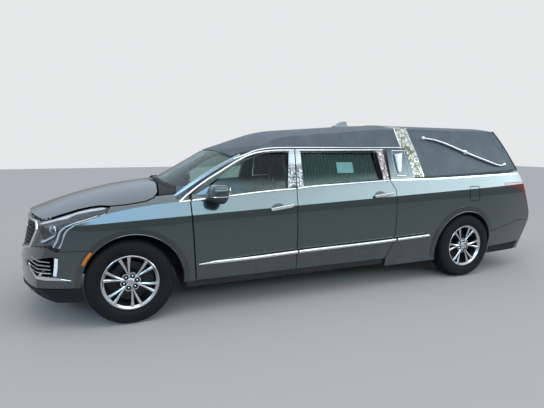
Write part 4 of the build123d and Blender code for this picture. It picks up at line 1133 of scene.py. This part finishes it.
GRILLE_SURROUND = [(0.0, 0.932), (0.560, 0.932), (0.655, 0.925), (0.683, 0.850), (0.645, 0.780),
                   (0.608, 0.706), (0.525, 0.696), (0.374, 0.645), (0.0, 0.626)]
SURROUND_SECTION = [(-1, -0.006), (-1, 0.004), (-0.5, 0.008), (0.4, 0.008), (1, 0.003), (1, -0.006)]
GRILLE_CAP = [(0.0005, -0.016), (0.050, -0.014), (0.050, 0.003), (0.044, 0.009), (0.030, 0.0115),
              (0.0005, 0.012)]
LOW_INTAKE_TOP = [(0, 0.556), (0.40, 0.556), (0.44, 0.50)]
LOW_INTAKE_FOOT = [(0, 0.452), (0.44, 0.452)]
HOOK = [(-0.815, -0.655, 0.568), (-0.790, -0.715, 0.520), (-0.745, -0.780, 0.480), (-0.680, -0.828, 0.468),
        (-0.604, -0.861, 0.463), (-0.470, -0.903, 0.448)]
UPRIGHT_LAMP = [(-0.600, -0.872, 0.490), (-0.585, -0.880, 0.560), (-0.572, -0.884, 0.645)]
SKID = [(-0.860, -0.300, 0.258), (-0.830, -0.480, 0.252), (-0.803, -0.568, 0.256), (-0.760, -0.690, 0.270),
        (-0.717, -0.774, 0.292)]
PROJECTOR_X, PROJECTOR_Y, PROJECTOR_Z = -0.582, 0.818, 0.868
WIRE_R = 0.0026
WIRE_STEP = 0.036


def inside_outline(x, z, outline):
    """True where a point lies in a closed outline: an odd number of its sides pass over the point."""
    p = np.asarray(outline, float)
    held = np.zeros(np.shape(x), bool)
    for (xa, za), (xb, zb) in zip(p, np.roll(p, -1, axis=0)):
        over = (za > z) != (zb > z)
        held ^= over & (x < xa + (z - za) * (xb - xa) / (zb - za if zb != za else 1e-9))
    return held


def both_sides(name, outer, inner, finish, slot="lamp", marks=None):
    """Closed sheet and its mirror image; marks gives the material of each quad of the outer face."""
    rows, columns = outer.shape[:2]
    if marks is not None:
        plain = (rows - 1) * (columns - 1) + 2 * (rows + columns - 2)
        marks = np.concatenate([marks.reshape(-1), np.zeros(plain, int)])
    made = []
    for side, word in SIDES.items():
        points, faces = closed_shell(outer * (1, -side, 1), inner * (1, -side, 1))
        made.append(add_piece(f"{name}_{word}", points, facing(faces, side == LEFT), finish, crease=35,
                              marks=marks))
    return made


def nose_strip(eye, line, half, lift, under, count=50, rows=7, reach=None, dome=0.95):
    """Strip on the nose along a line of points, as an outer and an inner grid. The line is turned into
    angles seen from the eye, and the strip's edges lie half its width beside it, divided by its distance.
    The outer grid swells by the root of one less the square of dome times the distance across."""
    d = np.asarray(line, float) - eye
    angles = np.stack([np.arctan2(-d[:, 1], -d[:, 0]), np.arctan2(d[:, 2], np.hypot(d[:, 0], d[:, 1]))], 1)
    path = through(angles, count)
    reach = reach or np.linalg.norm(nose_spots(eye, path[:, 0], path[:, 1]) - eye, axis=1)
    across = np.linspace(-1, 1, rows)[:, None, None]
    width = (np.broadcast_to(half, (count,)) / reach)[:, None]
    spots = path + beside(path) * across * width
    turn, climb = spots[..., 0], spots[..., 1]
    high = lift * np.sqrt(np.maximum(1 - (across[..., 0] * dome) ** 2, 0)) + 0 * turn
    return nose_spots(eye, turn, climb, -high), nose_spots(eye, turn, climb, np.full(high.shape, under))


def lamp_edges(turn):
    """Lowest and highest climb at each turn of the ray whose exit point lies in the headlamp's outline from
    the side, outside its inner edge from the front and under the hood's edge."""
    steps = 480
    climb = np.linspace(-0.45, 0.75, steps)[:, None]
    spot = nose_spots(LAMP_EYE, turn + 0 * climb, climb + 0 * turn)
    x, y, z = spot[..., 0], -spot[..., 1], spot[..., 2]
    held = (inside_outline(x, z, LAMP_SIDE) & (y > np.interp(z, *np.transpose(LAMP_INNER)) + 0.003)
            & (z < np.interp(x, *np.transpose(HOOD_EDGE)) - 0.006))
    first = np.argmax(held, 0)
    last = steps - 1 - np.argmax(held[::-1], 0)
    seen = held.any(0)
    return turn[seen], climb[first[seen], 0], climb[last[seen], 0]


LAMP_TURNS, LAMP_LOW, LAMP_HIGH = lamp_edges(np.linspace(0.2, 2.2, 260))


def lamp_grid(rows, columns, inset, low=0.0, high=1.0, first=0.0, last=1.0):
    """Grid over the headlamp's outline: shares low to high of its height and first to last of its turn."""
    turn = LAMP_TURNS[0] + (LAMP_TURNS[-1] - LAMP_TURNS[0]) * np.linspace(first, last, columns)
    bottom = np.interp(turn, LAMP_TURNS, LAMP_LOW)
    top = np.interp(turn, LAMP_TURNS, LAMP_HIGH)
    v = low + (high - low) * np.linspace(0, 1, rows)[:, None]
    return nose_spots(LAMP_EYE, np.broadcast_to(turn, (rows, columns)), bottom + (top - bottom) * v, inset)


def make_headlamps():
    """Clear cover, reflector tray, dark seal, chrome upper edge, three lit strips and a projector."""
    ends = (0.006, 0.988, 0.006, 0.994)
    cover = [lamp_grid(30, 64, inset, *ends) for inset in (0.0006, 0.0036)]
    made = both_sides("headlamp_cover", *cover, LENS)
    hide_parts("headlamps")
    ends = (0.02, 0.965, 0.012, 0.99)
    tray = lamp_grid(24, 60, 0.034 + 0.022 * pillow(24, 60, 0.3, 0.2, 1.0), *ends)
    both_sides("headlamp_tray", tray, lamp_grid(24, 60, 0.062, *ends), [GLOSS_BLACK_AND_SHADE, BEZEL],
               marks=np.broadcast_to((np.arange(59) < 26).astype(int), (23, 59)))
    seal = [lamp_grid(4, 60, inset, 0.90, 1.03) for inset in (0.030, 0.038)]
    both_sides("headlamp_seal", *seal, BLACK, "trim")
    foot = np.interp(np.linspace(0, 1, 50), [0, 0.5, 1], [0.86, 0.74, 0.60])
    brow = [lamp_grid(9, 50, inset, foot, 0.955, 0.14, 0.96) for inset in (0.008, 0.020)]
    both_sides("headlamp_brow", *brow, CHROME, "chrome")
    low_half = np.linspace(0.010, 0.006, 60)
    for name, line, half, front, back in (("light_outer", OUTER_LIGHT, 0.0065, 0.03, 0.045),
                                          ("light_inner", INNER_LIGHT, 0.0055, 0.03, 0.045),
                                          ("low_light", LOW_LIGHT, low_half, 0.04, 0.06)):
        outer, inner = nose_strip(LAMP_EYE, line, half, 0.001, 0.003, 60, 9, 0.52, 0.96)
        outer = outer + (LAMP_EYE - outer) * front
        both_sides("headlamp_" + name, outer, inner + (LAMP_EYE - inner) * back, GLOW)
    for side, word in SIDES.items():
        centre, axis = (PROJECTOR_X, side * PROJECTOR_Y, PROJECTOR_Z), (-0.80, side * 0.58, 0.02)
        join_parts(f"projector_{word}", [revolved(centre, axis, PROJECTOR, 48)], LENS)
        ring = revolved(centre, axis, PROJECTOR_RING, 56, loop=True)
        join_parts(f"projector_ring_{word}", [ring], CHROME)


def wire_net(name, half, low, high):
    """Diagonal mesh behind the front face: flat wires both ways, cut off at the opening's outline."""
    parts = []
    for hand in (-1, 1):
        for start in np.arange(-half - 0.4, half + 0.4, WIRE_STEP):
            z = np.linspace(0.40, 0.95, 120)
            y = start + hand * (z - 0.65) * 0.95
            held = ((np.abs(y) < half) & (z > np.interp(np.abs(y), *np.transpose(low)))
                    & (z < np.interp(np.abs(y), *np.transpose(high))))
            if held.sum() < 4:
                continue
            y, z = y[held], z[held]
            line = np.stack([nose_x(y, z) + 0.010 + hand * 0.4 * WIRE_R, y, z], 1)
            parts.append(tube(line[::max(1, len(y) // 8)], WIRE_R, 4, 0.6, (1, 0, 0)))
    return join_parts(name, parts, GLOSS_BLACK_AND_SHADE, crease=60)


def make_grille():
    """Diagonal mesh, a chrome surround with its corners rounded by averaging neighbours, and a plain cap."""
    wire_net("grille_mesh", 0.655, GRILLE_LOW, GRILLE_TOP)
    loop = np.array(GRILLE_SURROUND + [(-y, z) for y, z in GRILLE_SURROUND[-2:0:-1]] + GRILLE_SURROUND[:1])
    s = np.concatenate([[0], np.cumsum(np.linalg.norm(np.diff(loop, axis=0), axis=1))])
    t = np.linspace(0, s[-1], 321)[:-1]
    line = np.stack([np.interp(t, s, loop[:, 0]), np.interp(t, s, loop[:, 1])], 1)
    for _ in range(3):
        line = (np.roll(line, 1, 0) + 2 * line + np.roll(line, -1, 0)) / 4
    way = np.roll(line, -1, 0) - np.roll(line, 1, 0)
    way /= np.linalg.norm(way, axis=1)[:, None]
    across, lift = np.transpose(SURROUND_SECTION)
    y = line[:, :1] + way[:, 1:] * across * 0.009
    z = line[:, 1:] - way[:, :1] * across * 0.009
    faces = facing(grid_faces(len(line), len(across), True, True), False)
    add_piece("grille_surround", np.stack([nose_x(y, z) - lift, y, z], -1), faces, CHROME)
    cap = revolved((nose_x(0.0, 0.785) - 0.001, 0, 0.785), (-0.97, 0, 0.22), GRILLE_CAP, 48)
    join_parts("grille_cap", [cap], CHROME)


def make_low_front():
    """Lower intake mesh, chrome hooks, upright lamps, side intake bars and skid strip."""
    wire_net("low_grille_mesh", 0.425, LOW_INTAKE_FOOT, LOW_INTAKE_TOP)
    hook_half = np.concatenate([np.linspace(0.008, 0.017, 25), np.linspace(0.017, 0.003, 25)])
    both_sides("hook_trim", *nose_strip(LOW_EYE, HOOK, hook_half, 0.004, 0.003), CHROME, "chrome")
    both_sides("upright_lamp", *nose_strip(LOW_EYE, UPRIGHT_LAMP, 0.014, 0.004, 0.008, 30), GLOW)
    for k in range(4):
        z = 0.512 + 0.033 * k
        first_x = -0.788 if k == 0 else -0.800
        bar = [(first_x, -0.672, z + 0.024), (-0.720, -0.800, z + 0.008), (-0.632, -0.862, z)]
        strip = nose_strip(LOW_EYE, bar, 0.0042, -0.004, 0.016, 30, 5)
        both_sides(f"intake_bar_{k}", *strip, SATIN, "grille")
    skid = nose_strip(LOW_EYE, SKID, np.linspace(0.011, 0.006, 50), 0.003, 0.003)
    both_sides("skid_strip", *skid, SATIN, "chrome")
    y = np.linspace(-0.300, 0.300, 40)
    line = np.stack([nose_x(y, np.full(40, 0.256)) - 0.0025, y, np.full(40, 0.258)], 1)
    join_parts("skid_strip_middle", [tube(line, 0.010, 10, 0.4, (1, 0, 0))], SATIN)


def make_arch_markers():
    """Amber marker set into the flange of each front wheel arch."""
    for side, word in SIDES.items():
        a = np.deg2rad(np.linspace(138, 154, 24))[None, :]
        r = (0.456 + 0.012 * np.linspace(-1, 1, 7))[:, None]
        swell = 0.005 + 0.003 * pillow(7, 24, 0.3, 0.1)
        spots = 0.036 + r * np.cos(a), 0.378 + r * np.sin(a)
        panel(f"arch_marker_{word}", spots, swell, 0.008, AMBER, side, surface=lower_y)


make_headlamps()
make_grille()
make_low_front()
make_arch_markers()


# Inside the car

RAKE = math.radians(25)
SEAT_Y = 0.370


def pleats(x, count, start, end):
    """Pleats of unequal width: a sine whose phase runs a little faster and slower along the curtain."""
    s = (x - start) / (end - start)
    phase = 2 * np.pi * count * (s + 0.006 * np.sin(9 * s) + 0.004 * np.sin(23 * s + 1))
    return np.sin(phase) + 0.18 * np.sin(2 * phase + 0.7)


def make_curtain(word, side, body):
    """Pleated curtain on a rod inside the rear door. Pleats are shallow at the rod, deepest at mid height
    and spread a little at the hem, and each sways slightly as it falls."""
    rows, columns, inset = 34, 420, -0.069
    v, u = unit_grid(rows, columns)
    start, end = 1.700, 2.640
    x = start + (end - 0.030 * v - start) * u
    z = 1.184 + 0.016 * u + (0.322 - 0.006 * u) * v
    depth = 0.0032 + 0.0036 * np.sin(np.pi * np.clip(1 - v, 0, 1) * 0.85 + 0.35)
    wave = depth * pleats(x + 0.006 * (1 - v) * np.sin(17 * u), 27, start, end)
    spot = on_skin(x, z, inset + wave, side, green_y)
    faces = facing(grid_faces(rows, columns), side == RIGHT)
    made = add_piece(f"curtain_cloth_{word}", spot, faces, CURTAIN, body, crease=80)
    line = on_skin(np.linspace(1.695, 2.612, 30), 1.5085, inset, side, green_y)
    rod = join_parts(f"curtain_rod_{word}", [tube(line, 0.0035, 10)], SATIN, body)
    line = on_skin(np.linspace(1.702, 2.636, 120), 1.186 + np.linspace(0, 0.016, 120), inset, side, green_y)
    hem = join_parts(f"curtain_hem_{word}", [tube(line, 0.0042, 8, 0.6)], CURTAIN, body)
    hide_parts(f"curtain_{word}")


def make_notice(word, side, body):
    """Blank pale sheet behind the rear door glass, slightly curled by two sines."""
    v, u = unit_grid(8, 12)
    x = 2.141 + 0.200 * u + 0.002 * np.sin(3 * v)
    z = 1.288 + 0.113 * v + 0.001 * np.sin(5 * u)
    outer = on_skin(x, z, -0.050 + 0.0012 * np.sin(4 * u + 2 * v), side, green_y)
    points, faces = closed_shell(outer, outer + (0, -side * 0.0006, 0))
    add_piece(f"blank_notice_{word}", points, facing(faces, side == LEFT), PAPER, body, 60)


def cushion(name, centre, size, tilt, rolls=0, power=5.0):
    """Padded block: a soft box whose top carries stitched rolls, each a shallow half wave, and whose sides
    rise by the fourth power of the distance from the middle."""
    shape, faces = rounded_box((0, 0, 0), size, power, 34, 72)
    if rolls:
        top = np.clip(shape[:, 2] / (size[2] / 2), 0, 1) ** 2
        shape[:, 2] += top * 0.010 * (np.abs(np.sin(np.pi * rolls * (shape[:, 0] / size[0] + 0.5))) - 0.6)
        shape[:, 2] += top * 0.018 * np.clip(np.abs(shape[:, 1]) / (size[1] / 2), 0, 1) ** 4
    made = add_piece(name, tilted(shape, tilt) + np.asarray(centre), faces, SEAT, crease=50)
    return made


def make_seats():
    """Front seats: bolstered cushion and backrest, head rest on two posts, on a dark foot."""
    lean = math.radians(-74)
    for side, word in SIDES.items():
        y = side * SEAT_Y
        seat = cushion(f"seat_cushion_{word}", (1.365, y, 0.555), (0.560, 0.490, 0.125), 0.06, rolls=5)
        cushion(f"seat_back_{word}", (1.758, y, 0.860), (0.640, 0.480, 0.125), lean, rolls=6)
        cushion(f"head_rest_{word}", (1.838, y, 1.262), (0.090, 0.262, 0.165), 0.2, power=3.2)
        posts = [tube([[1.802, y + d, 1.120], [1.822, y + d, 1.200]], 0.006, 10) for d in (-0.07, 0.07)]
        join_parts(f"head_rest_posts_{word}", posts, SATIN)
        foot = rounded_box((1.345, y, 0.395), (0.560, 0.440, 0.180), 8)
        shield = rounded_box((1.600, y + side * 0.235, 0.500), (0.240, 0.030, 0.120), 5)
        join_parts(f"seat_foot_{word}", [foot, shield], TRIM)
        if side == LEFT:
            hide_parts("front_seats")


def make_wheel_rim():
    """Steering wheel: a grip ring with finger swells, three spokes with satin faces and a plain pad."""
    centre = np.array([1.050, -SEAT_Y, 0.985])
    w = np.array([math.cos(RAKE), 0, math.sin(RAKE)])
    u, v = np.array([0, 1.0, 0]), np.cross(w, [0, 1.0, 0])
    a, b = full_turn(120)[:, None], full_turn(14)[None, :]
    grip = 0.0145 + 0.0012 * np.clip(np.cos(2 * a), 0, 1)
    ring = (0.185 + grip * np.cos(b))[..., None]
    way = np.cos(a)[..., None] * u + np.sin(a)[..., None] * v
    points = centre + ring * way + (grip * np.sin(b))[..., None] * w
    faces = facing(grid_faces(120, 14, True, True), False)
    made = add_piece("steering_rim", points, faces, SEAT, crease=60)
    parts = []
    for t in (0.0, math.pi, -math.pi / 2):
        way = math.cos(t) * u + math.sin(t) * v
        line = centre + way * np.linspace(0.040, 0.178, 8)[:, None] + w * np.linspace(0.010, 0.0, 8)[:, None]
        parts.append(tube(line, np.linspace(0.024, 0.013, 8), 14, 0.35, tuple(w)))
    join_parts("steering_spokes", parts, SATIN)
    pad = [(0.0005, -0.018), (0.050, -0.016), (0.066, 0.002), (0.058, 0.016), (0.035, 0.025),
           (0.0005, 0.028)]
    join_parts("steering_pad", [revolved(centre, w, pad, 40)], TRIM)
    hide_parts("steering_wheel")


def make_dash():
    """Instrument face, screen and vents on the dashboard."""
    face = rounded_box((0.868, -SEAT_Y, 1.048), (0.085, 0.330, 0.070), 5, tilt=0.35)
    join_parts("instrument_face", [face], GLOSS_BLACK_AND_SHADE)
    screen = rounded_box((0.930, 0.0, 0.985), (0.018, 0.250, 0.120), 10, tilt=0.30)
    join_parts("dash_screen", [screen], GLOSS_BLACK_AND_SHADE)
    vents = [rounded_box((0.918, y, z), (0.020, 0.085, 0.005), 6, 10, 16)
             for y in (-0.640, -0.175, 0.175, 0.640) for z in (0.985, 0.969, 0.953, 0.937)]
    join_parts("dash_vents", vents, SATIN)


def make_deck_fittings():
    """Bright rails, rollers and bier pins on the casket deck."""
    rails = [rounded_box((3.430, y, 0.6935), (2.860, 0.026, 0.0070), 14, 12, 24) for y in (-0.330, 0.330)]
    join_parts("deck_rail_caps", rails, CHROME)
    y = np.linspace(-0.312, 0.312, 40)
    rollers = [tube(np.stack([x + 0 * y, y, 0.6830 + 0 * y], 1), 0.0176, 16)
               for x in np.arange(2.100, 4.801, 0.300)]
    join_parts("deck_rollers", rollers, BLACK)
    for k, x in enumerate((2.25, 2.85, 3.45, 4.05, 4.65)):
        plate = rounded_box((x, 0.0, 0.6655), (0.16, 0.060, 0.006), 8, 12, 24)
        pin = tube([[x, 0, 0.666], [x, 0, 0.690]], 0.009, 14, up=(1, 0, 0))
        knob = rounded_box((x, 0, 0.694), (0.026, 0.026, 0.012), 2.5, 12, 20)
        join_parts(f"bier_pin_{k}", [plate, pin, knob], SATIN)


def make_engine_bay():
    """Radiator hung from a cross panel behind the grille; a ribbed cover with an oil cap on the engine."""
    join_parts("radiator_core", [rounded_box((-0.565, 0, 0.610), (0.050, 1.000, 0.480), 12)], CORE)
    posts = [rounded_box((-0.565, y, 0.620), (0.064, 0.050, 0.530), 8, 16, 28) for y in (-0.520, 0.520)]
    rail = rounded_box((-0.600, 0, 0.882), (0.150, 1.220, 0.030), 8)
    join_parts("radiator_frame", posts + [rail], BLACK)
    lid = rounded_box((-0.065, 0.020, 0.900), (0.560, 0.540, 0.060), 6)
    cap = tube([[0.120, -0.205, 0.910], [0.120, -0.205, 0.952]], 0.026, 24, up=(1, 0, 0))
    ribs = [rounded_box((-0.065, y, 0.930), (0.440, 0.026, 0.016), 5, 12, 28)
            for y in (-0.13, -0.03, 0.07, 0.17)]
    join_parts("engine_cover", [lid, cap] + ribs, BLACK)


for side, word in SIDES.items():
    make_curtain(word, side, "door_rear_" + word)
    make_notice(word, side, "door_rear_" + word)
make_seats()
make_wheel_rim()
make_dash()
make_deck_fittings()
make_engine_bay()


# Mirrors, wipers, rear end and painted faces

MIRROR = (0.778, -1.030)
FRONT_ARCH, REAR_ARCH = (0.036, 0.378, 0.434, 0.4848), (3.812, 0.379, 0.426, 0.4868)
# First and last y of each wiper's blade, then its first and last distance up the windscreen
WIPERS = ((-0.180, -0.600, -0.010, 0.095), (0.330, -0.080, -0.020, 0.060))
ARCH_BEADS = {"front": (0.034, 0.379, 0.4355, 12, 172), "rear": (3.815, 0.376, 0.4275, 8, 174)}


def make_mirror(word, side):
    """Door mirror: a rounded cap in body colour over a dark lower shell, a chrome line between them, a
    tapering foot and the glass on the rear face. The cap's coordinates are lobes of the angles, and the
    glass is a square pressed into a fourth-power oval."""
    door, mirrored = "door_front_" + word, (1, -side, 1)
    rows, columns = 40, 84
    v = np.linspace(-np.pi / 2, np.pi / 2, rows)[:, None]
    u = full_turn(columns)[None, :]
    a = lobe(np.cos(v), 0.55) * lobe(np.cos(u), 0.62)
    b = lobe(np.cos(v), 0.55) * lobe(np.sin(u), 0.62)
    c = lobe(np.sin(v), 0.62) + 0 * u
    points = np.stack([MIRROR[0] + 0.083 * a * (1 + 0.10 * c) + 0.022 * c, MIRROR[1] + 0.106 * b - 0.004 * a,
                       1.150 + 0.083 * c + 0.005 * b - 0.018 * a * (c < 0)], -1) * mirrored
    faces = grid_faces(rows, columns, wrap_columns=True)
    dark = points.reshape(-1, 3)[faces][..., 2].mean(1) < 1.128
    made = add_piece(f"mirror_shell_{word}", points, facing(faces, side == RIGHT), [PAINT, BLACK],
                     door, 50, dark)
    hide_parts(f"mirror_{word}")
    t = np.linspace(0.15 * np.pi, 1.85 * np.pi, 70)
    line = np.stack([MIRROR[0] + 0.0835 * lobe(np.cos(t), 0.62), MIRROR[1] + 0.1065 * lobe(np.sin(t), 0.62),
                     np.full(70, 1.1285)], 1) * mirrored
    join_parts(f"mirror_line_{word}", [tube(line, 0.0040, 8)], CHROME, door)
    v, u = unit_grid(12, 16, -1)
    squash = np.maximum(np.abs(v), np.abs(u)) / np.maximum((v ** 4 + u ** 4) ** 0.25, 1e-6)
    y, z = MIRROR[1] + 0.084 * u * squash, 1.156 + 0.056 * v * squash
    glass = np.stack([0.858 + 0.25 * (z - 1.15), y, z], -1) * mirrored
    points, faces = closed_shell(glass, glass - (0.012, 0, 0))
    add_piece(f"mirror_glass_{word}", points, facing(faces, side == RIGHT), CHROME, door, 30)
    s = np.linspace(0, 1, 16)
    path = np.stack([0.758 - 0.030 * s, 0.105 * s - 1.000, 1.088 - 0.004 * s], 1) * mirrored
    base = on_skin(np.linspace(0.650, 0.800, 12), 1.078, 0.004, side)
    foot = [tube(path, 0.032 + 0.018 * s, 20, 0.52), tube(base, 0.012, 12, 0.5)]
    join_parts(f"mirror_foot_{word}", foot, BLACK, door, 50)


def make_wipers():
    """Two wipers parked low on the windscreen: arm, blade and pivot cap."""
    rise = np.array([-math.sin(SCREEN_SLOPE), 0, math.cos(SCREEN_SLOPE)])
    s = np.linspace(0, 1, 26)
    for k, (y0, y1, u0, u1) in enumerate(WIPERS):
        pivot_y, pivot_up = y0 + 0.10, u0 - 0.045
        blade = screen_point(y0 + (y1 - y0) * s, u0 + (u1 - u0) * s) + rise * 0.011
        arm = screen_point(pivot_y + (y1 - y0) * 0.62 * s, pivot_up + (u1 - u0 + 0.06) * 0.72 * s)
        pivot = screen_point(np.array(pivot_y), np.array(pivot_up)) + rise * 0.012
        parts = [tube(blade, 0.0055, 8, 1.4), tube(arm + rise * 0.024, 0.0065, 8, 0.6),
                 rounded_box(pivot, (0.034, 0.034, 0.030), 3)]
        join_parts(f"wiper_{k}", parts, BLACK)


def make_gate_details():
    """Gate handle, blank plate in its recess and high stop lamp, leaning as the gate does."""
    z = 0.985
    x = np.interp(z, *REAR_FACE) - 0.006
    lean = math.atan2(4.920 - 5.105, 0.44)
    lamp_x = np.interp(1.700, *REAR_FACE) - 0.026
    tilted_back = math.radians(-30)
    for name, centre, size, power, tilt, finish, slot in (
            ("gate_handle", (x + 0.010, 0, z + 0.105), (0.026, 0.520, 0.036), 4, lean, CHROME, "chrome"),
            ("plate_recess", (x + 0.003, 0, z), (0.012, 0.560, 0.165), 9, lean, GLOSS_BLACK_AND_SHADE, "trim"),
            ("blank_plate", (x + 0.010, 0, z), (0.008, 0.440, 0.135), 16, lean, PAPER, "chrome"),
            ("high_stop_lamp", (lamp_x, 0, 1.7), (0.014, 0.34, 0.022), 6, tilted_back, TAIL, "tail_lamp")):
        join_parts(name, [rounded_box(centre, size, power, tilt=tilt)], finish, "gate")


def make_arch_beads():
    """Rolled edge on the inner rim of each wheel arch: a tube along an arc on the body's surface."""
    for side, word in SIDES.items():
        for end, (x, z, r, first, last) in ARCH_BEADS.items():
            a = np.deg2rad(np.linspace(first, last, 110))
            line = on_skin(x + r * np.cos(a), z + r * np.sin(a), 0.0026, side, lower_y)
            join_parts(f"arch_bead_{end}_{word}", [tube(line, 0.0042, 10)], PAINT)


def make_rear_shade_strip():
    """Dark lower edge behind each rear wheel: a strip of painted shade over the quarter below the body's
    true lower edge.
    """
    low = np.stack([np.linspace(4.262, 4.770, 40), np.full(40, 0.2425)], 1)
    high = np.stack([np.linspace(4.262, 4.830, 40), np.linspace(0.330, 0.346, 40)], 1)
    for side, word in SIDES.items():
        panel(f"rear_valance_{word}", between(low, high, 8), 0.0016, 0.004, VALANCE_AND_SHADE, side,
              surface=lower_y)


def on_flange(arch):
    """Test for the flat band round a wheel arch, between its two radii; c and n are the faces' centres and
    normals."""
    x, z, inner, outer = arch

    def test(c, n):
        r = np.hypot(c[:, 0] - x, c[:, 2] - z)
        return (r > inner) & (r < outer) & (np.abs(n[:, 1]) > 0.8) & (np.abs(c[:, 1]) > 0.86)
    return test


def on_window_frame(side):
    """Test for a door's outer faces above the belt, where the upper surface stands further out."""
    def test(c, n):
        x, z = c[:, 0], c[:, 2]
        upper = green_y(x, z) < lower_y(x, z) + 0.002
        outer = np.abs(np.abs(c[:, 1]) + body_y(x, z)) < 0.004
        return upper & outer & (z > 1.10) & (np.abs(n[:, 1]) > 0.5) & (side * c[:, 1] > 0)
    return test


def under_skin(c, n):
    """Test for low faces more than 6 mm inside the lower body surface, those of the nose left out."""
    return (np.abs(c[:, 1]) + lower_y(c[:, 0], c[:, 2]) < -0.006) & (c[:, 2] < 0.95) & (c[:, 0] > -0.45)


def paint_all():
    """Second materials on faces of the solids: window frames, arch flanges, gate top, jambs."""
    for side, word in SIDES.items():
        for door in (f"door_front_{word}", f"door_rear_{word}"):
            paint_faces(door, GLOSS_BLACK_AND_SHADE, on_window_frame(side))
            paint_faces(door, TRIM, lambda c, n: -side * n[:, 1] > 0.7)
    paint_faces("front_bumper", LINER, lambda c, n: (n[:, 0] > 0.35) & (c[:, 0] < -0.45))
    # Arch flange bands, front here and rear below, take the near-black paint: partly their own colour,
    # partly painted shade.
    for name in ("fenders", "front_bumper"):
        paint_faces(name, FLANGE_TONE_AND_SHADE, on_flange(FRONT_ARCH))
        paint_faces(name, LINER, under_skin)
    for word in SIDES.values():
        paint_faces(f"quarter_{word}", LINER, under_skin)
        paint_faces(f"quarter_{word}", FLANGE_TONE_AND_SHADE, on_flange(REAR_ARCH))
        paint_faces(f"body_side_{word}", GLOSS_BLACK_AND_SHADE,
                    lambda c, n: np.abs(c[:, 1]) + body_y(c[:, 0], c[:, 2]) < -0.006)
        paint_faces(f"body_side_{word}", LINER, lambda c, n: (np.abs(n[:, 0]) > 0.5) & (c[:, 2] < 1.0))
    paint_faces("gate", VINYL, lambda c, n: (c[:, 2] > 1.235) & (n[:, 0] < 0.5))
    paint_faces("gate", LINING, lambda c, n: n[:, 0] < -0.6)
    paint_faces("roof_shell", LINING, lambda c, n: (n[:, 2] < -0.25) & (c[:, 2] > 1.5))


join_parts("under_shield", [rounded_box((0.500, 0, 0.262), (0.030, 1.300, 0.150), 8)], LINER)
for side, word in SIDES.items():
    make_mirror(word, side)
make_wipers()
make_gate_details()
make_arch_beads()
make_rear_shade_strip()
paint_all()


# Floor, light and camera

scene = bpy.context.scene
bpy.ops.mesh.primitive_plane_add(size=60, location=(0, 0, 0))
floor = bpy.context.object
floor.name = "floor"
floor.data.materials.append(new_material("floor", (0.41, 0.370, 0.345), roughness=0.95)[0])


def make_sky():
    """Pale sky by height, with a bright band to the left of the car whose edge climbs towards the rear, so
    that the shoulder mirrors it. The camera sees a plain pale ground instead."""
    world = bpy.data.worlds.new("studio")
    scene.world = world
    world.use_nodes = True
    sky = world.node_tree
    place = add_node(sky, "ShaderNodeTexCoord").outputs["Generated"]
    way = add_node(sky, "ShaderNodeSeparateXYZ", {"Vector": place}).outputs
    ramp = add_node(sky, "ShaderNodeValToRGB", {"Fac": way["Z"]})
    low, high = ramp.color_ramp.elements
    low.position, low.color = 0.0, (0.27, 0.285, 0.28, 1)
    high.position, high.color = 0.75, (1.10, 1.22, 1.36, 1)
    ramp.color_ramp.elements.new(0.12).color = (0.40, 0.42, 0.41, 1)
    ramp.color_ramp.elements.new(0.34).color = (0.80, 0.95, 1.10, 1)
    climb = value_math(sky, "ADD", value_math(sky, "MULTIPLY", way["X"], 0.17), way["Z"])
    band = value_math(sky, "MULTIPLY", spread(sky, climb, 0.33, 0.39, curve="SMOOTHSTEP"),
                      spread(sky, climb, 0.57, 0.48, curve="SMOOTHSTEP"))
    glow = value_math(sky, "MULTIPLY", band, spread(sky, way["Y"], -0.15, -0.40))
    tint = blend_colour(sky, spread(sky, way["X"], -0.02, 0.26), (3.5, 5.7, 8.0), (4.3, 5.4, 5.6))
    tint = blend_colour(sky, spread(sky, way["X"], 0.30, 0.66), tint, (6.2, 7.5, 8.1))
    lit = blend_colour(sky, glow, ramp.outputs["Color"], tint)
    seen = add_node(sky, "ShaderNodeLightPath").outputs["Is Camera Ray"]
    set_sockets(sky, sky.nodes["Background"], {"Color": blend_colour(sky, seen, lit, (1.02, 1.03, 1.04)),
                                               "Strength": 0.78})


def make_lamp():
    """Broad lamp above the left side, turned towards the middle of the car."""
    data = bpy.data.lights.new("top lamp", "AREA")
    data.shape = "RECTANGLE"
    data.size, data.size_y = 8, 4
    data.energy = 120
    made = bpy.data.objects.new("top lamp", data)
    scene.collection.objects.link(made)
    made.location = (-0.5, -2.5, 6.5)
    x, y, z = 0.5, 2.5, -6.0
    made.rotation_euler = (math.atan2(math.hypot(x, y), -z), 0, math.atan2(y, x) - math.pi / 2)


make_sky()
make_lamp()
scene.view_settings.view_transform = "Standard"
camera = bpy.data.objects.new("camera", bpy.data.cameras.new("camera"))
scene.collection.objects.link(camera)
camera.data.lens = 26.98
camera.data.sensor_width = 36
camera.location = (-2.15243, -4.59783, 1.55863)
camera.rotation_euler = (math.pi / 2 - 0.137365, 0, -0.366137)
scene.camera = camera
